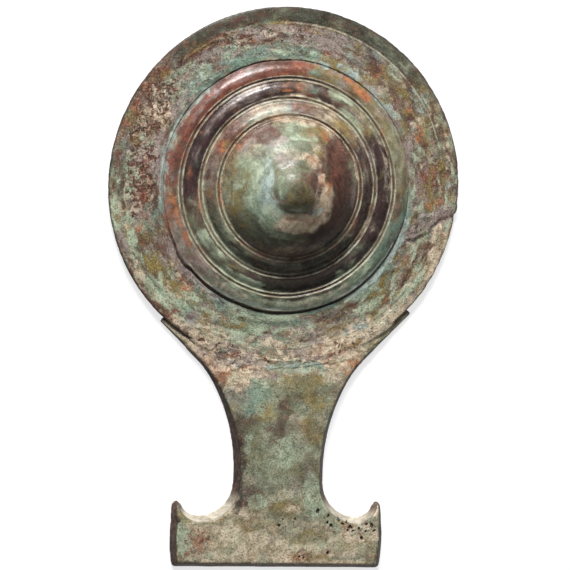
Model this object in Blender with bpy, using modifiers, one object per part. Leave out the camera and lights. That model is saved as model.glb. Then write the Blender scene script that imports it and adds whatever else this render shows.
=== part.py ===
"""An ancient bronze mirror with a cast plate handle, lying on its back with the boss up.

The round disc is one thin casting with a rim line, a low step, three convex mouldings parted by lipped
grooves, and a hollow domed boss with a small nipple. The handle is a waisted plate: its fan-shaped top
carries the disc's lower edge in a shallow rebate, and its broad foot ends in two upturned horns.

The disc lies toward +Y and the handle toward -Y. The origin is under the middle of the whole outline.
"""

import math

import bmesh
import bpy
from mathutils import Vector

MM = 0.001

# The whole object
TOTAL_LENGTH = 324.0 * MM
GAP = 0.3 * MM  # clearance where the disc rests on the handle

# The disc: heights are above the front of its edge
DISC_RADIUS = 102.0 * MM
SHEET = 2.0 * MM  # thickness of the flat plate
WALL = 2.6 * MM  # thickness of the mouldings and the dome
RIM_LINE_RADIUS = 93.6 * MM
RIM_LINE_HEIGHT = 0.6 * MM
STEP_RADIUS = 72.0 * MM
STEP_FOOT = 1.1 * MM  # height of the plate where it meets the step
STEP_HEAD = 2.9 * MM  # height of the outer moulding above the step
GROOVES = (  # radius and height of each groove, from the boss outward
    (41.1 * MM, 11.3 * MM),
    (50.6 * MM, 7.2 * MM),
    (61.9 * MM, 5.4 * MM),
)
GROOVE_DEPTH = 0.45 * MM
LIP_HEIGHT = 0.3 * MM
LIP_REACH = 1.15 * MM  # from a groove's middle to the top of each of its lips
MOULDING_BULGE = 0.8 * MM
DOME_RADIUS = 39.2 * MM
DOME_HEIGHT = 17.4 * MM
NIPPLE_RADIUS = 12.6 * MM
NIPPLE_HEIGHT = 5.9 * MM
DISC_STEPS = 64
DISC_LEAN = math.radians(0.618)  # the edge over the handle stands higher than the far edge

# The handle: heights are above the ground it lies on, and distances run from the middle of the foot's end
WAIST_HALF = 26.4 * MM
WAIST_RUN = 57.0 * MM
FLARE_RADIUS = 104.0 * MM  # each side leaves the waist on this arc
FLARE_TURN = 30.0  # degrees
FAN_RADIUS = 60.0 * MM  # and turns further on this one, then runs straight to the fan's tip
FAN_TURN = 14.5  # degrees
FAN_RUNS = (31.0 * MM, 37.5 * MM)  # the straight stretch on the left and on the right
FAN_END = 3.0 * MM  # length of the square-cut end of each tip
FAN_LAP = 11.0 * MM  # how far the fan reaches under the disc's edge
HANDLE_SHIFT = 0.7 * MM  # its middle line passes this far beside the disc's centre
FOOT_HALF = 61.6 * MM
FOOT_BULGE = 1.6 * MM
FOOT_CORNER = 2.5 * MM
FOOT_SLOPE = 0.023  # the foot falls off to the right by this share
HORN_HEIGHT = 39.0 * MM
HORN_WIDTH = 4.0 * MM
HORN_MIDDLE = 58.6 * MM
BAY_FLOOR = (46.5 * MM, 29.8 * MM)  # lowest place of the bay inside a horn
BAY_RADII = (20.0 * MM, 11.3 * MM)  # toward the waist and toward the horn
DRAFT = 0.38  # the side walls lean inward by this share of the height
EDGE_ROUND = 0.5 * MM  # further inset of the front face, which softens its edge
LAND_SHARE = 0.16  # share of the thickness that stands upright at the back
SHOULDER_SHARE = 0.86  # share of the thickness where the front edge starts to round
HORN_ROOT = 12.0 * MM  # below this depth a horn is as stout as the foot
SLIMMEST = 0.36  # share of the draft that is left at a horn's tip
LOW_HORN = 0.75  # share of the thickness that a horn keeps at its tip, draft apart
THICKNESS = (  # distance from the foot's end, thickness of the plate there
    (0.0 * MM, 6.8 * MM),
    (30.0 * MM, 7.2 * MM),
    (57.0 * MM, 7.4 * MM),
    (85.0 * MM, 6.6 * MM),
    (108.0 * MM, 4.8 * MM),
    (119.0 * MM, 4.0 * MM),
    (129.0 * MM, 3.2 * MM),
    (148.0 * MM, 2.2 * MM),
)
SHARPEST_MITRE = 0.6  # keeps the inset of a sharp corner from running away
CUTTER_DEPTH = 20.0 * MM

# Worked out
FOOT_Y = -TOTAL_LENGTH / 2 + FOOT_SLOPE * (FOOT_HALF + HANDLE_SHIFT)  # the middle of the foot's end
DISC_Y = TOTAL_LENGTH / 2 - DISC_RADIUS
DISC_Z = SHEET + DISC_RADIUS * math.sin(DISC_LEAN)


def make_material(name, colour, metallic, roughness):
    material = bpy.data.materials.new(name)
    material.use_nodes = True
    shader = material.node_tree.nodes["Principled BSDF"]
    shader.inputs["Base Color"].default_value = (*colour, 1.0)
    shader.inputs["Metallic"].default_value = metallic
    shader.inputs["Roughness"].default_value = roughness
    return material


def arc(centre, radius, start, end, pieces):
    """Points on a circle from one angle to another, both ends included; angles in degrees."""
    angles = [math.radians(start + (end - start) * i / pieces) for i in range(pieces + 1)]
    return [
        (centre[0] + radius * math.cos(a), centre[1] + radius * math.sin(a)) for a in angles
    ]


def bowed(start, end, bulge, pieces):
    """Points from start to end on the circle that stands off the chord by bulge, to the left of the way."""
    start, end = Vector(start), Vector(end)
    chord = end - start
    left = Vector((-chord.y, chord.x)).normalized()
    radius = ((chord.length / 2) ** 2 + bulge**2) / (2 * bulge)
    half = math.asin(min(1.0, chord.length / 2 / abs(radius)))
    centre = (start + end) / 2 + left * (bulge - radius)
    points = []
    for i in range(pieces + 1):
        turn = half * (2 * i / pieces - 1)
        forward = chord.normalized() * abs(radius) * math.sin(turn)
        outward = left * math.copysign(abs(radius) * math.cos(turn), radius)
        points.append(tuple(centre + forward + outward))
    return points


def cap_height(radius, base, height):
    """Height above its base of a round cap of this base radius and height, at a distance from its axis."""
    ball = (base**2 + height**2) / (2 * height)
    return math.sqrt(ball**2 - radius**2) - (ball - height)


def lipped_groove(radius, height):
    """A groove between two low lips, from the inside outward."""
    return [
        (radius - 2 * LIP_REACH, height),
        (radius - LIP_REACH, height + LIP_HEIGHT),
        (radius, height - GROOVE_DEPTH),
        (radius + LIP_REACH, height + LIP_HEIGHT),
        (radius + 2 * LIP_REACH, height),
    ]


def moulding(start, end, bulge, pieces):
    """The inner points of a convex band between two places on the profile."""
    points = []
    for i in range(1, pieces):
        t = i / pieces
        radius = start[0] + (end[0] - start[0]) * t
        height = start[1] + (end[1] - start[1]) * t + bulge * 4 * t * (1 - t)
        points.append((radius, height))
    return points


def front_profile():
    """The disc's front from the top of the nipple out to the edge, as radius and height."""
    dome_top = GROOVES[0][1] + DOME_HEIGHT
    foot = GROOVES[0][1] + cap_height(NIPPLE_RADIUS, DOME_RADIUS, DOME_HEIGHT)
    points = []
    for share in (0.0, 0.3, 0.55, 0.75, 0.9, 0.98):
        radius = NIPPLE_RADIUS * share
        points.append((radius, foot + cap_height(radius, NIPPLE_RADIUS, NIPPLE_HEIGHT)))
    assert points[0][1] > dome_top
    pieces = 8
    for i in range(pieces):
        radius = 1.06 * NIPPLE_RADIUS + (DOME_RADIUS - 1.06 * NIPPLE_RADIUS) * (i / pieces) ** 0.8
        points.append((radius, GROOVES[0][1] + cap_height(radius, DOME_RADIUS, DOME_HEIGHT)))
    for i, groove in enumerate(GROOVES):
        if i:
            outer = (groove[0] - 2 * LIP_REACH, groove[1])
            points += moulding(points[-1], outer, MOULDING_BULGE, 4)
        points += lipped_groove(*groove)
    points += moulding(points[-1], (STEP_RADIUS - 0.7 * MM, STEP_HEAD), MOULDING_BULGE, 4)
    points += [
        (STEP_RADIUS - 0.7 * MM, STEP_HEAD),
        (STEP_RADIUS, STEP_FOOT - 0.4 * MM),
        (STEP_RADIUS + 0.8 * MM, STEP_FOOT),
        (RIM_LINE_RADIUS - 0.6 * MM, RIM_LINE_HEIGHT),
        (RIM_LINE_RADIUS, RIM_LINE_HEIGHT - 0.35 * MM),
        (RIM_LINE_RADIUS + 0.6 * MM, RIM_LINE_HEIGHT - 0.05 * MM),
        (DISC_RADIUS - 0.6 * MM, 0.0),
        (DISC_RADIUS, -0.4 * MM),
    ]
    return points


def back_profile():
    """The disc's plain back from the edge in to the top of the hollow under the boss."""
    inner_base = DOME_RADIUS - WALL
    inner_height = DOME_HEIGHT - WALL / 2
    points = [
        (DISC_RADIUS, -SHEET + 0.3 * MM),
        (DISC_RADIUS - 0.5 * MM, -SHEET),
        (RIM_LINE_RADIUS, RIM_LINE_HEIGHT - SHEET),
        (STEP_RADIUS + 1.0 * MM, STEP_FOOT - SHEET),
        (STEP_RADIUS - 3.0 * MM, STEP_HEAD - WALL),
    ]
    points += [(radius, height - WALL) for radius, height in reversed(GROOVES)]
    base = GROOVES[0][1] - WALL
    for share in (1.0, 0.94, 0.84, 0.7, 0.52, 0.3, 0.0):
        radius = inner_base * share
        points.append((radius, base + cap_height(radius, inner_base, inner_height)))
    return points


def build_disc(collection, material):
    """The turned casting: front and back profile joined in one outline, spun about the boss's axis."""
    outline = front_profile() + back_profile()
    mesh = bpy.data.meshes.new("disc")
    ends = [(i, i + 1) for i in range(len(outline) - 1)]
    mesh.from_pydata([(radius, 0.0, height) for radius, height in outline], ends, [])
    disc = bpy.data.objects.new("disc", mesh)
    collection.objects.link(disc)
    spin = disc.modifiers.new("turned", "SCREW")
    spin.axis = "Z"
    spin.angle = math.tau
    spin.steps = DISC_STEPS
    spin.render_steps = DISC_STEPS
    spin.use_merge_vertices = True
    spin.merge_threshold = 1e-5
    spin.use_smooth_shade = True
    place_on_disc(disc)
    disc.data.materials.append(material)
    return disc


def place_on_disc(thing):
    """Puts an object modelled about the disc's axis where the disc lies."""
    thing.location = (0.0, DISC_Y, DISC_Z)
    thing.rotation_euler = (-DISC_LEAN, 0.0, 0.0)


def thickness_at(y):
    """The handle's thickness at a distance from the foot's end, in straight runs between the stations."""
    run = y - FOOT_Y
    for (near, low), (far, high) in zip(THICKNESS, THICKNESS[1:]):
        if run <= far:
            return low + (high - low) * max(0.0, run - near) / (far - near)
    return THICKNESS[-1][1]


def handle_side(side):
    """Outline of one side of the handle, from the foot's end up to the fan's tip; side is -1 or 1."""
    floor, (wide, tight) = BAY_FLOOR, BAY_RADII
    tip = (HORN_MIDDLE, HORN_HEIGHT)
    outer = (tip[0] + 0.48 * HORN_WIDTH, tip[1] - 0.6 * HORN_WIDTH)
    inner_rise = tip[1] - 0.5 * HORN_WIDTH - (floor[1] + tight)
    inner_angle = math.degrees(math.asin(inner_rise / tight))
    points = arc((FOOT_HALF - FOOT_CORNER, FOOT_CORNER), FOOT_CORNER, -90, 0, 3)
    points += bowed(points[-1], outer, -FOOT_BULGE, 6)[1:]
    points += bowed(outer, tip, -0.4 * MM, 2)[1:]
    points += arc((floor[0], floor[1] + tight), tight, inner_angle, -90, 6)
    points += arc((floor[0], floor[1] + wide), wide, -90, -180, 9)[1:]
    points += flare(15)
    points += [along(points[-1], 90.0 - FLARE_TURN - FAN_TURN, FAN_RUNS[0 if side < 0 else 1])]
    points = [(side * x + HANDLE_SHIFT, FOOT_Y + y) for x, y in points]
    end = (Vector((0.0, DISC_Y)) - Vector(points[-1])).normalized() * FAN_END
    points.append(tuple(Vector(points[-1]) + end))
    return [slope_foot(x, y) for x, y in points]


def along(start, angle, length):
    """The point at a distance from start, in a direction in degrees."""
    turn = math.radians(angle)
    return (start[0] + length * math.cos(turn), start[1] + length * math.sin(turn))


def flare(pieces):
    """The side from the waist outward: a wide arc, then a tighter one that goes on in the same direction."""
    first = arc((WAIST_HALF + FLARE_RADIUS, WAIST_RUN), FLARE_RADIUS, 180, 180 - FLARE_TURN, pieces - 4)
    centre = along(first[-1], -FLARE_TURN, FAN_RADIUS)
    second = arc(centre, FAN_RADIUS, 180 - FLARE_TURN, 180 - FLARE_TURN - FAN_TURN, 4)
    return first + second[1:]


def slope_foot(x, y):
    """Lets the foot fall off to the right, and leaves the waist and the fan as they are."""
    share = min(1.0, max(0.0, (FOOT_Y + WAIST_RUN - y) / (WAIST_RUN - BAY_FLOOR[1])))
    return (x, y - FOOT_SLOPE * x * share)


def handle_outline():
    """The handle's whole outline at its back, counter-clockwise from the right of the foot's end."""
    right, left = handle_side(1), handle_side(-1)
    ends = (Vector(right[-1]), Vector(left[-1]))
    low = Vector(((ends[0].x + ends[1].x) / 2, DISC_Y - DISC_RADIUS + FAN_LAP))
    sag = (ends[0] + ends[1]).y / 2 - low.y
    top = bowed(right[-1], left[-1], -sag, 14)[1:-1]
    return right + top + left[::-1]


def inward(outline, i):
    """The way square to the outline at a point, into the plate, longer at a corner."""
    before, here, after = (Vector(outline[j % len(outline)]) for j in (i - 1, i, i + 1))
    arriving, leaving = (here - before).normalized(), (after - here).normalized()
    onward = (arriving + leaving).normalized()
    return Vector((-onward.y, onward.x)) / max(SHARPEST_MITRE, arriving.dot(onward))


def slimness(x, y):
    """The share of the full draft that a place on a horn has room for: little at its tip, all at its root."""
    depth = FOOT_Y + HORN_HEIGHT - FOOT_SLOPE * x - y
    on_horn = abs(x - HANDLE_SHIFT) > FOOT_HALF - HORN_ROOT
    if not on_horn or depth > HORN_ROOT:
        return 1.0
    return SLIMMEST + (1.0 - SLIMMEST) * max(0.0, depth) / HORN_ROOT


def raise_ring(bm, ring, outline, rise, lean, rounding):
    """Extrudes the plate's top to a share of its thickness, draws its edge inward, and gives the new edge."""
    top = next(face for face in ring[0].link_faces if len(face.verts) == len(ring))
    places = {tuple(vert.co): i for i, vert in enumerate(ring)}
    grown = bmesh.ops.extrude_face_region(bm, geom=[top])["geom"]
    if top.calc_center_median().z > 0:
        bmesh.ops.delete(bm, geom=[top], context="FACES_ONLY")
    raised = [item for item in grown if isinstance(item, bmesh.types.BMVert)]
    raised.sort(key=lambda vert: places[tuple(vert.co)])
    for i, vert in enumerate(raised):
        x, y = outline[i]
        slim = slimness(x, y)
        full = thickness_at(y) * (LOW_HORN + (1.0 - LOW_HORN) * slim)
        move = inward(outline, i) * slim * (lean * full + rounding)
        vert.co = (x + move.x, y + move.y, rise * full)
    return raised


def build_handle(collection, cutters, material):
    """The plate, raised from its outline in drafted rings, then rebated for the disc."""
    outline = handle_outline()
    bm = bmesh.new()
    ring = [bm.verts.new((x, y, 0.0)) for x, y in outline]
    bm.faces.new(ring)
    for rise, lean, rounding in ((LAND_SHARE, 0, 0), (SHOULDER_SHARE, DRAFT, 0), (1, DRAFT, EDGE_ROUND)):
        ring = raise_ring(bm, ring, outline, rise, lean, rounding)
    front = [max(ring[0].link_faces, key=lambda face: len(face.verts))]
    for run, _ in THICKNESS[1:-1]:
        inside = list({item for face in front for item in (face, *face.edges, *face.verts)})
        cut = bmesh.ops.bisect_plane(bm, geom=inside, plane_co=(0, FOOT_Y + run, 0), plane_no=(0, 1, 0))
        front = [item for item in cut["geom"] if isinstance(item, bmesh.types.BMFace)]
    bmesh.ops.recalc_face_normals(bm, faces=bm.faces)
    mesh = bpy.data.meshes.new("handle")
    bm.to_mesh(mesh)
    bm.free()
    handle = bpy.data.objects.new("handle", mesh)
    collection.objects.link(handle)
    handle.data.materials.append(material)
    rebate = handle.modifiers.new("rebate for the disc", "BOOLEAN")
    rebate.operation = "DIFFERENCE"
    rebate.solver = "EXACT"
    rebate.object = build_disc_cutter(cutters)
    return handle


def build_disc_cutter(cutters):
    """A plug a little wider and deeper than the disc, which cuts its seat in the handle."""
    bm = bmesh.new()
    radius = DISC_RADIUS + GAP
    bmesh.ops.create_cone(
        bm, cap_ends=True, segments=DISC_STEPS, radius1=radius, radius2=radius, depth=CUTTER_DEPTH
    )
    bmesh.ops.translate(bm, verts=bm.verts, vec=(0, 0, CUTTER_DEPTH / 2 - SHEET - GAP))
    mesh = bpy.data.meshes.new("disc seat")
    bm.to_mesh(mesh)
    bm.free()
    cutter = bpy.data.objects.new("disc seat", mesh)
    cutters.objects.link(cutter)
    cutter.hide_render = True
    cutter.display_type = "WIRE"
    place_on_disc(cutter)
    return cutter


def main():
    for old in list(bpy.data.objects):
        bpy.data.objects.remove(old)
    mirror = bpy.data.collections.new("bronze mirror")
    cutters = bpy.data.collections.new("cutters")
    for collection in (mirror, cutters):
        bpy.context.scene.collection.children.link(collection)
    disc_bronze = make_material("disc bronze", (0.23, 0.24, 0.18), 0.35, 0.55)
    handle_bronze = make_material("handle bronze", (0.26, 0.26, 0.18), 0.35, 0.6)
    build_disc(mirror, disc_bronze)
    build_handle(mirror, cutters, handle_bronze)


main()
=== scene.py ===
"""The look of an ancient bronze mirror: a worn disc with a hollow boss, on a cast plate handle."""

import math
from collections import namedtuple

import bpy
import numpy as np
from mathutils import Matrix, Vector, noise
from mathutils.bvhtree import BVHTree


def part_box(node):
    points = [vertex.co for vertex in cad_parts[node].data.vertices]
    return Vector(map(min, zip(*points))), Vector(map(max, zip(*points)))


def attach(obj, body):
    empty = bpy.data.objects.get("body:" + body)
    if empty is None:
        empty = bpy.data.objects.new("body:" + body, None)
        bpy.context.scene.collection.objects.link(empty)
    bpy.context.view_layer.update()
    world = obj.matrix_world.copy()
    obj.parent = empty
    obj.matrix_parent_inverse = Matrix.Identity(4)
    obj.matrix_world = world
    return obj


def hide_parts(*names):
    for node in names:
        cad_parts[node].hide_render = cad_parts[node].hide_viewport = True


MM = 0.001

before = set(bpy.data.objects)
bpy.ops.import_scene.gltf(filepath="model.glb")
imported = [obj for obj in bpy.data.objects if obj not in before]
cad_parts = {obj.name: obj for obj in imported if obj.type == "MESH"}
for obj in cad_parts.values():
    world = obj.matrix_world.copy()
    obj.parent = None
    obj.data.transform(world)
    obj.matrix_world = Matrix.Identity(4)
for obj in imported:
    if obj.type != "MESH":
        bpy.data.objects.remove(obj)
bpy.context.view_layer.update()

# The disc as the frame gives it: its corners, radius, lean over the handle's end, thickness and middle
DISC_LOW, DISC_HIGH = (Vector(corner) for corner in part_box("disc"))
DISC_RADIUS = (DISC_HIGH.x - DISC_LOW.x) / 2
DISC_LEAN = math.radians(0.618)
SHEET = 2.0 * MM
DISC_PLACE = Vector((0.0, (DISC_LOW.y + DISC_HIGH.y) / 2, SHEET + DISC_RADIUS * math.sin(DISC_LEAN)))
DISC_TURN = Matrix.Rotation(-DISC_LEAN, 3, "X")


# ---------------------------------------------------------------- tools for modelling


def deselect():
    if bpy.context.mode != "OBJECT":
        bpy.ops.object.mode_set(mode="OBJECT")
    bpy.ops.object.select_all(action="DESELECT")


def start_piece(add, name, **settings):
    """Adds a primitive with nothing else selected and opens it in edit mode."""
    deselect()
    add(**settings)
    piece = bpy.context.object
    piece.name = name
    piece.data.name = name
    bpy.ops.object.mode_set(mode="EDIT")
    return piece


def pick(piece):
    deselect()
    bpy.context.view_layer.objects.active = piece
    piece.select_set(True)


def apply_all(piece):
    """Applies the piece's modifiers in order, then its place and turn."""
    pick(piece)
    for modifier in list(piece.modifiers):
        bpy.ops.object.modifier_apply(modifier=modifier.name)
    bpy.ops.object.transform_apply(location=True, rotation=True, scale=True)


def trace_line(points):
    """In edit mode, draws the open line of a section by extruding one corner from point to point."""
    bpy.ops.mesh.merge(type="CENTER")
    bpy.ops.transform.translate(value=(points[0][0], 0.0, points[0][1]))
    for (x, z), (next_x, next_z) in zip(points, points[1:]):
        step = (next_x - x, 0.0, next_z - z)
        bpy.ops.mesh.extrude_region_move(TRANSFORM_OT_translate={"value": step})


def tidy_skin():
    """In edit mode, closes the doubles and turns every face outwards."""
    bpy.ops.mesh.select_all(action="SELECT")
    bpy.ops.mesh.remove_doubles(threshold=0.02 * MM)
    bpy.ops.mesh.normals_make_consistent(inside=False)


def points_of(piece):
    points = np.empty(len(piece.data.vertices) * 3)
    piece.data.vertices.foreach_get("co", points)
    return points.reshape(-1, 3)


def normals_of(piece):
    normals = np.empty(len(piece.data.vertices) * 3, np.float32)
    piece.data.vertex_normals.foreach_get("vector", normals)
    return normals.reshape(-1, 3).astype(float)


def move_points(piece, points):
    piece.data.vertices.foreach_set("co", points.ravel())
    piece.data.update()


def smooth_ramp(value, low, high):
    """0 below low, 1 above high, smooth between."""
    t = np.clip((value - low) / (high - low), 0.0, 1.0)
    return t * t * (3 - 2 * t)


def bell(offset, width):
    return np.exp(-((offset / width) ** 2))


def grain(points, size, seed=0.0, octaves=3):
    """Even noise between about -1 and 1, with lumps of the size given."""
    shift = Vector((seed * 17.3, seed * 5.1, seed * 11.7))
    return np.array([noise.fractal(Vector(p) / size + shift, 0.6, 2.1, octaves) for p in points])


def polar(points):
    """Each point's distance from the disc's axis and its turn in degrees, 90 being away from the handle."""
    local = (points - np.array(DISC_PLACE)) @ np.array(DISC_TURN)
    return np.hypot(local[:, 0], local[:, 1]), np.degrees(np.arctan2(local[:, 1], local[:, 0]))


def arc_gap(turn, middle):
    """How far a turn is from another, in degrees, either way round."""
    return np.abs((turn - middle + 180) % 360 - 180)


# ---------------------------------------------------------------- the disc's section

# Radius and height of each groove, from the dome outward
GROOVES = ((41.1 * MM, 11.3 * MM), (50.6 * MM, 7.2 * MM), (61.9 * MM, 5.4 * MM))
GROOVE_DEPTH, GROOVE_WIDTH = 0.6 * MM, 0.45 * MM
LIP_REACH, LIP_WIDTH, LIP_HEIGHT = 1.1 * MM, 0.5 * MM, 0.32 * MM  # each groove has a lip on either side
BULGES = (1.0 * MM, 1.0 * MM, 0.5 * MM)  # how far each moulding swells, from the dome outward
DOME_RADIUS, DOME_HEIGHT = 39.2 * MM, 17.4 * MM
NIPPLE_RADIUS, NIPPLE_HEIGHT = 13.2 * MM, 5.9 * MM
NIPPLE_BLEND, NIPPLE_FILLET = 1.3 * MM, 3.0 * MM  # how soft its foot is, and how far the fillet reaches
STEP_RADIUS, STEP_FOOT, STEP_HEAD, STEP_SLOPE = 72.0 * MM, 1.1 * MM, 2.9 * MM, 0.5 * MM
RIM_LINE, RIM_LINE_HEIGHT, RIM_BULGE = 93.6 * MM, 0.6 * MM, 0.25 * MM
WALL = 2.6 * MM  # thickness of the metal under the mouldings

# Every line that runs round the front: its radius, half its width, and how far it stands up or is cut in
LINES = [(radius, GROOVE_WIDTH, -GROOVE_DEPTH) for radius, _ in GROOVES]
LINES += [(radius + side * LIP_REACH, LIP_WIDTH, LIP_HEIGHT) for radius, _ in GROOVES for side in (-1, 1)]
LINES += [
    (STEP_RADIUS - 1.1 * MM, 0.5 * MM, 0.25 * MM),  # the lip over the step
    (RIM_LINE, 0.4 * MM, -0.3 * MM),  # the line round the rim
    (RIM_LINE - 1.0 * MM, 0.5 * MM, 0.19 * MM),  # and its lip
]


def cap_height(radius, base, height):
    """Height of a round cap above its base circle, at a distance from its axis."""
    ball = (base**2 + height**2) / (2 * height)
    return math.sqrt(max(0.0, ball**2 - radius**2)) - (ball - height)


def soft_max(a, b, blend):
    """The greater of two heights, with the corner between them filled."""
    return (a + b + math.sqrt((a - b) ** 2 + blend**2)) / 2


def between(radius, start, end, bulge=0.0):
    """Height on the run from one (radius, height) to the next, which may swell in the middle."""
    t = (radius - start[0]) / (end[0] - start[0])
    return start[1] + (end[1] - start[1]) * t + bulge * 4 * t * (1 - t)


def moulding_height(radius):
    """The dome, the three mouldings and the plate, before any groove is cut."""
    edge = 2 * LIP_REACH
    if radius < DOME_RADIUS - 0.2 * MM:
        dome = cap_height(radius, DOME_RADIUS, DOME_HEIGHT)
        if radius < NIPPLE_RADIUS + NIPPLE_FILLET:
            foot = cap_height(NIPPLE_RADIUS, DOME_RADIUS, DOME_HEIGHT)
            nipple = foot + cap_height(radius, NIPPLE_RADIUS + 0.3 * MM, NIPPLE_HEIGHT)
            dome = soft_max(dome, nipple, NIPPLE_BLEND)
        return GROOVES[0][1] + dome
    if radius < GROOVES[0][0] + edge:
        return GROOVES[0][1]
    for (r0, h0), (r1, h1), bulge in zip(GROOVES, GROOVES[1:], BULGES):
        if radius < r1 - edge:
            return between(radius, (r0 + edge, h0), (r1 - edge, h1), bulge)
        if radius < r1 + edge:
            return h1
    r0, h0 = GROOVES[-1]
    if radius < STEP_RADIUS - STEP_SLOPE:
        return between(radius, (r0 + edge, h0), (STEP_RADIUS - STEP_SLOPE, STEP_HEAD), BULGES[-1])
    if radius < RIM_LINE:
        return between(radius, (STEP_RADIUS, STEP_FOOT), (RIM_LINE, RIM_LINE_HEIGHT))
    return between(radius, (RIM_LINE, RIM_LINE_HEIGHT - 0.1 * MM), (DISC_RADIUS, -0.1 * MM), RIM_BULGE)


def engraving(radius):
    """What the lines round the front add to it, at a distance from the axis."""
    return sum(height * bell(radius - middle, width) for middle, width, height in LINES)


def back_height(radius):
    """Height of the disc's plain back."""
    inner = DOME_RADIUS - WALL
    if radius < inner:
        return GROOVES[0][1] - WALL + cap_height(radius, inner, DOME_HEIGHT - WALL / 2)
    stops = [(inner, GROOVES[0][1] - WALL)]
    stops += [(r, h - WALL) for r, h in GROOVES]
    stops += [(STEP_RADIUS - 3 * MM, STEP_HEAD - WALL), (STEP_RADIUS + 1 * MM, STEP_FOOT - SHEET)]
    stops += [(RIM_LINE, RIM_LINE_HEIGHT - SHEET), (DISC_RADIUS, -SHEET)]
    for start, end in zip(stops, stops[1:]):
        if radius <= end[0]:
            return between(radius, start, end)
    return -SHEET


def rings(stops):
    """Distances from the axis, from (reach, spacing) pairs, the middle first."""
    radii, here = [], 0.0
    for reach, spacing in stops:
        count = max(1, round((reach - here) / spacing))
        radii += [here + (reach - here) * i / count for i in range(count)]
        here = reach
    return radii + [here]


def disc_section():
    """The section as (distance, height) points: out along the front, round the edge and back in behind."""
    fine, coarse = 0.4 * MM, 0.85 * MM
    stops = [(38.0 * MM, 0.95 * MM)]
    for groove, _ in GROOVES:
        stops += [(groove - 2.4 * MM, coarse), (groove + 2.4 * MM, fine)]
    stops += [(STEP_RADIUS - 1.6 * MM, coarse), (STEP_RADIUS + 1.4 * MM, 0.33 * MM)]
    stops += [(RIM_LINE - 1.6 * MM, coarse), (RIM_LINE + 1.2 * MM, fine), (DISC_RADIUS - 0.5 * MM, coarse)]
    front = [(r, moulding_height(r) + engraving(r)) for r in rings(stops)]
    edge = [(DISC_RADIUS - 0.12 * MM, -0.22 * MM), (DISC_RADIUS, -0.7 * MM)]
    edge += [(DISC_RADIUS, -SHEET + 0.6 * MM), (DISC_RADIUS - 0.3 * MM, -SHEET + 0.15 * MM)]
    back = [(r, back_height(r)) for r in rings([(36.0 * MM, 3.0 * MM), (DISC_RADIUS - 1.0 * MM, 2.6 * MM)])]
    return front + edge + back[::-1]


DISC_STEPS = 540  # faces round the disc

# The scaly flake over the crack that runs in from the disc's edge: its outline, in mm from the middle
FLAKE = ((102, -9), (94, -10.5), (87.5, -14.5), (80, -15), (75.5, -19), (73.5, -25), (71, -29.5), (76, -30),
         (80, -27.5), (84.5, -25), (86, -21.5), (89.5, -20), (92, -18), (96, -16.4), (102, -15.8))


def inside_by(x, y, outline):
    """How far each point is inside an outline of straight runs, negative outside it."""
    inside = np.zeros(len(x), bool)
    away = np.full(len(x), 1e9)
    for (x0, y0), (x1, y1) in zip(outline, outline[1:] + outline[:1]):
        run_x, run_y = x1 - x0, y1 - y0
        along = np.clip(((x - x0) * run_x + (y - y0) * run_y) / (run_x**2 + run_y**2), 0, 1)
        away = np.minimum(away, np.hypot(x - x0 - along * run_x, y - y0 - along * run_y))
        crosses = (y0 > y) != (y1 > y)
        with np.errstate(divide="ignore", invalid="ignore"):
            inside ^= crosses & (x < run_x * (y - y0) / run_y + x0)
    return np.where(inside, away, -away)


def flake_of(points):
    """How far each point lies inside the ragged flake over the crack, in mm, and how raw it is there."""
    local = (points - np.array(DISC_PLACE)) @ np.array(DISC_TURN) / MM
    inside = inside_by(local[:, 0], local[:, 1], FLAKE) + 0.9 * grain(points, 8 * MM, 12, 2)
    return inside, smooth_ramp(-local[:, 1], 12, 17)


# Where a groove and its lips are rubbed or filled away: the groove, and the turn of the middle and half the
# length in degrees
RUBBED = (
    (1, -22, 16), (0, 100, 22), (2, 160, 10), (2, 62, 9), (0, -80, 52), (1, 95, 8), (1, -75, 26),
    (0, 20, 10), (2, -30, 8),
)


def wear_of(points, radius, turn):
    """How much of the engraving is rubbed away at each point, from 0 to 1."""
    worn = 0.3 + 0.35 * grain(points, 14 * MM, 3)
    worn += smooth_ramp(radius, 85 * MM, 90 * MM) * (0.75 - smooth_ramp(50 - arc_gap(turn, 50), 0, 20))
    at_step = smooth_ramp(radius, 69 * MM, 70 * MM) * bell(radius - STEP_RADIUS, 3 * MM)
    worn += at_step * smooth_ramp(arc_gap(turn, -95), 50, 80)
    for groove, middle, half in RUBBED:
        near = bell(radius - GROOVES[groove][0], 3 * MM)
        worn = np.maximum(worn, 0.8 * near * smooth_ramp(half - arc_gap(turn, middle), -4, 10))
    return np.clip(worn, 0, 1)


def step_lift(radius, turn):
    """The step at the outer moulding's foot: a crevice, deepest towards the handle, and a bank outside."""
    below = smooth_ramp(76 - arc_gap(turn, -95), 0, 60)
    bank = smooth_ramp(radius - (0.7 * below - 0.5) * MM, STEP_RADIUS, STEP_RADIUS + 1.0 * MM)
    bank = bank * (1 - smooth_ramp(radius, STEP_RADIUS + 2 * MM, 82 * MM))
    crevice = bell(radius - STEP_RADIUS - 0.3 * MM, 0.32 * MM)
    return MM * ((0.85 + 0.1 * below) * bank - (0.02 + 0.62 * below) * crevice)


def swell_lift(radius, turn):
    """The outer moulding is fuller on the side away from the handle."""
    return 0.55 * MM * bell(radius - 66.6 * MM, 3.2 * MM) * smooth_ramp(95 - arc_gap(turn, 115), 0, 50)


def uneven_lift(points, radius, ray, plate):
    """A plate no longer flat, streaked along the rings, and the marks of the hammer and of the ground."""
    along = np.stack([ray[:, 0] * 30 * MM, ray[:, 1] * 30 * MM, radius * 1.6], 1)
    bent = 0.3 * grain(points, 38 * MM, 1, 2) + 0.06 * grain(along, 6 * MM, 7)
    return MM * (plate * bent + 0.12 * grain(points, 9 * MM, 2) + 0.05 * grain(points, 2.2 * MM, 5))


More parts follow.
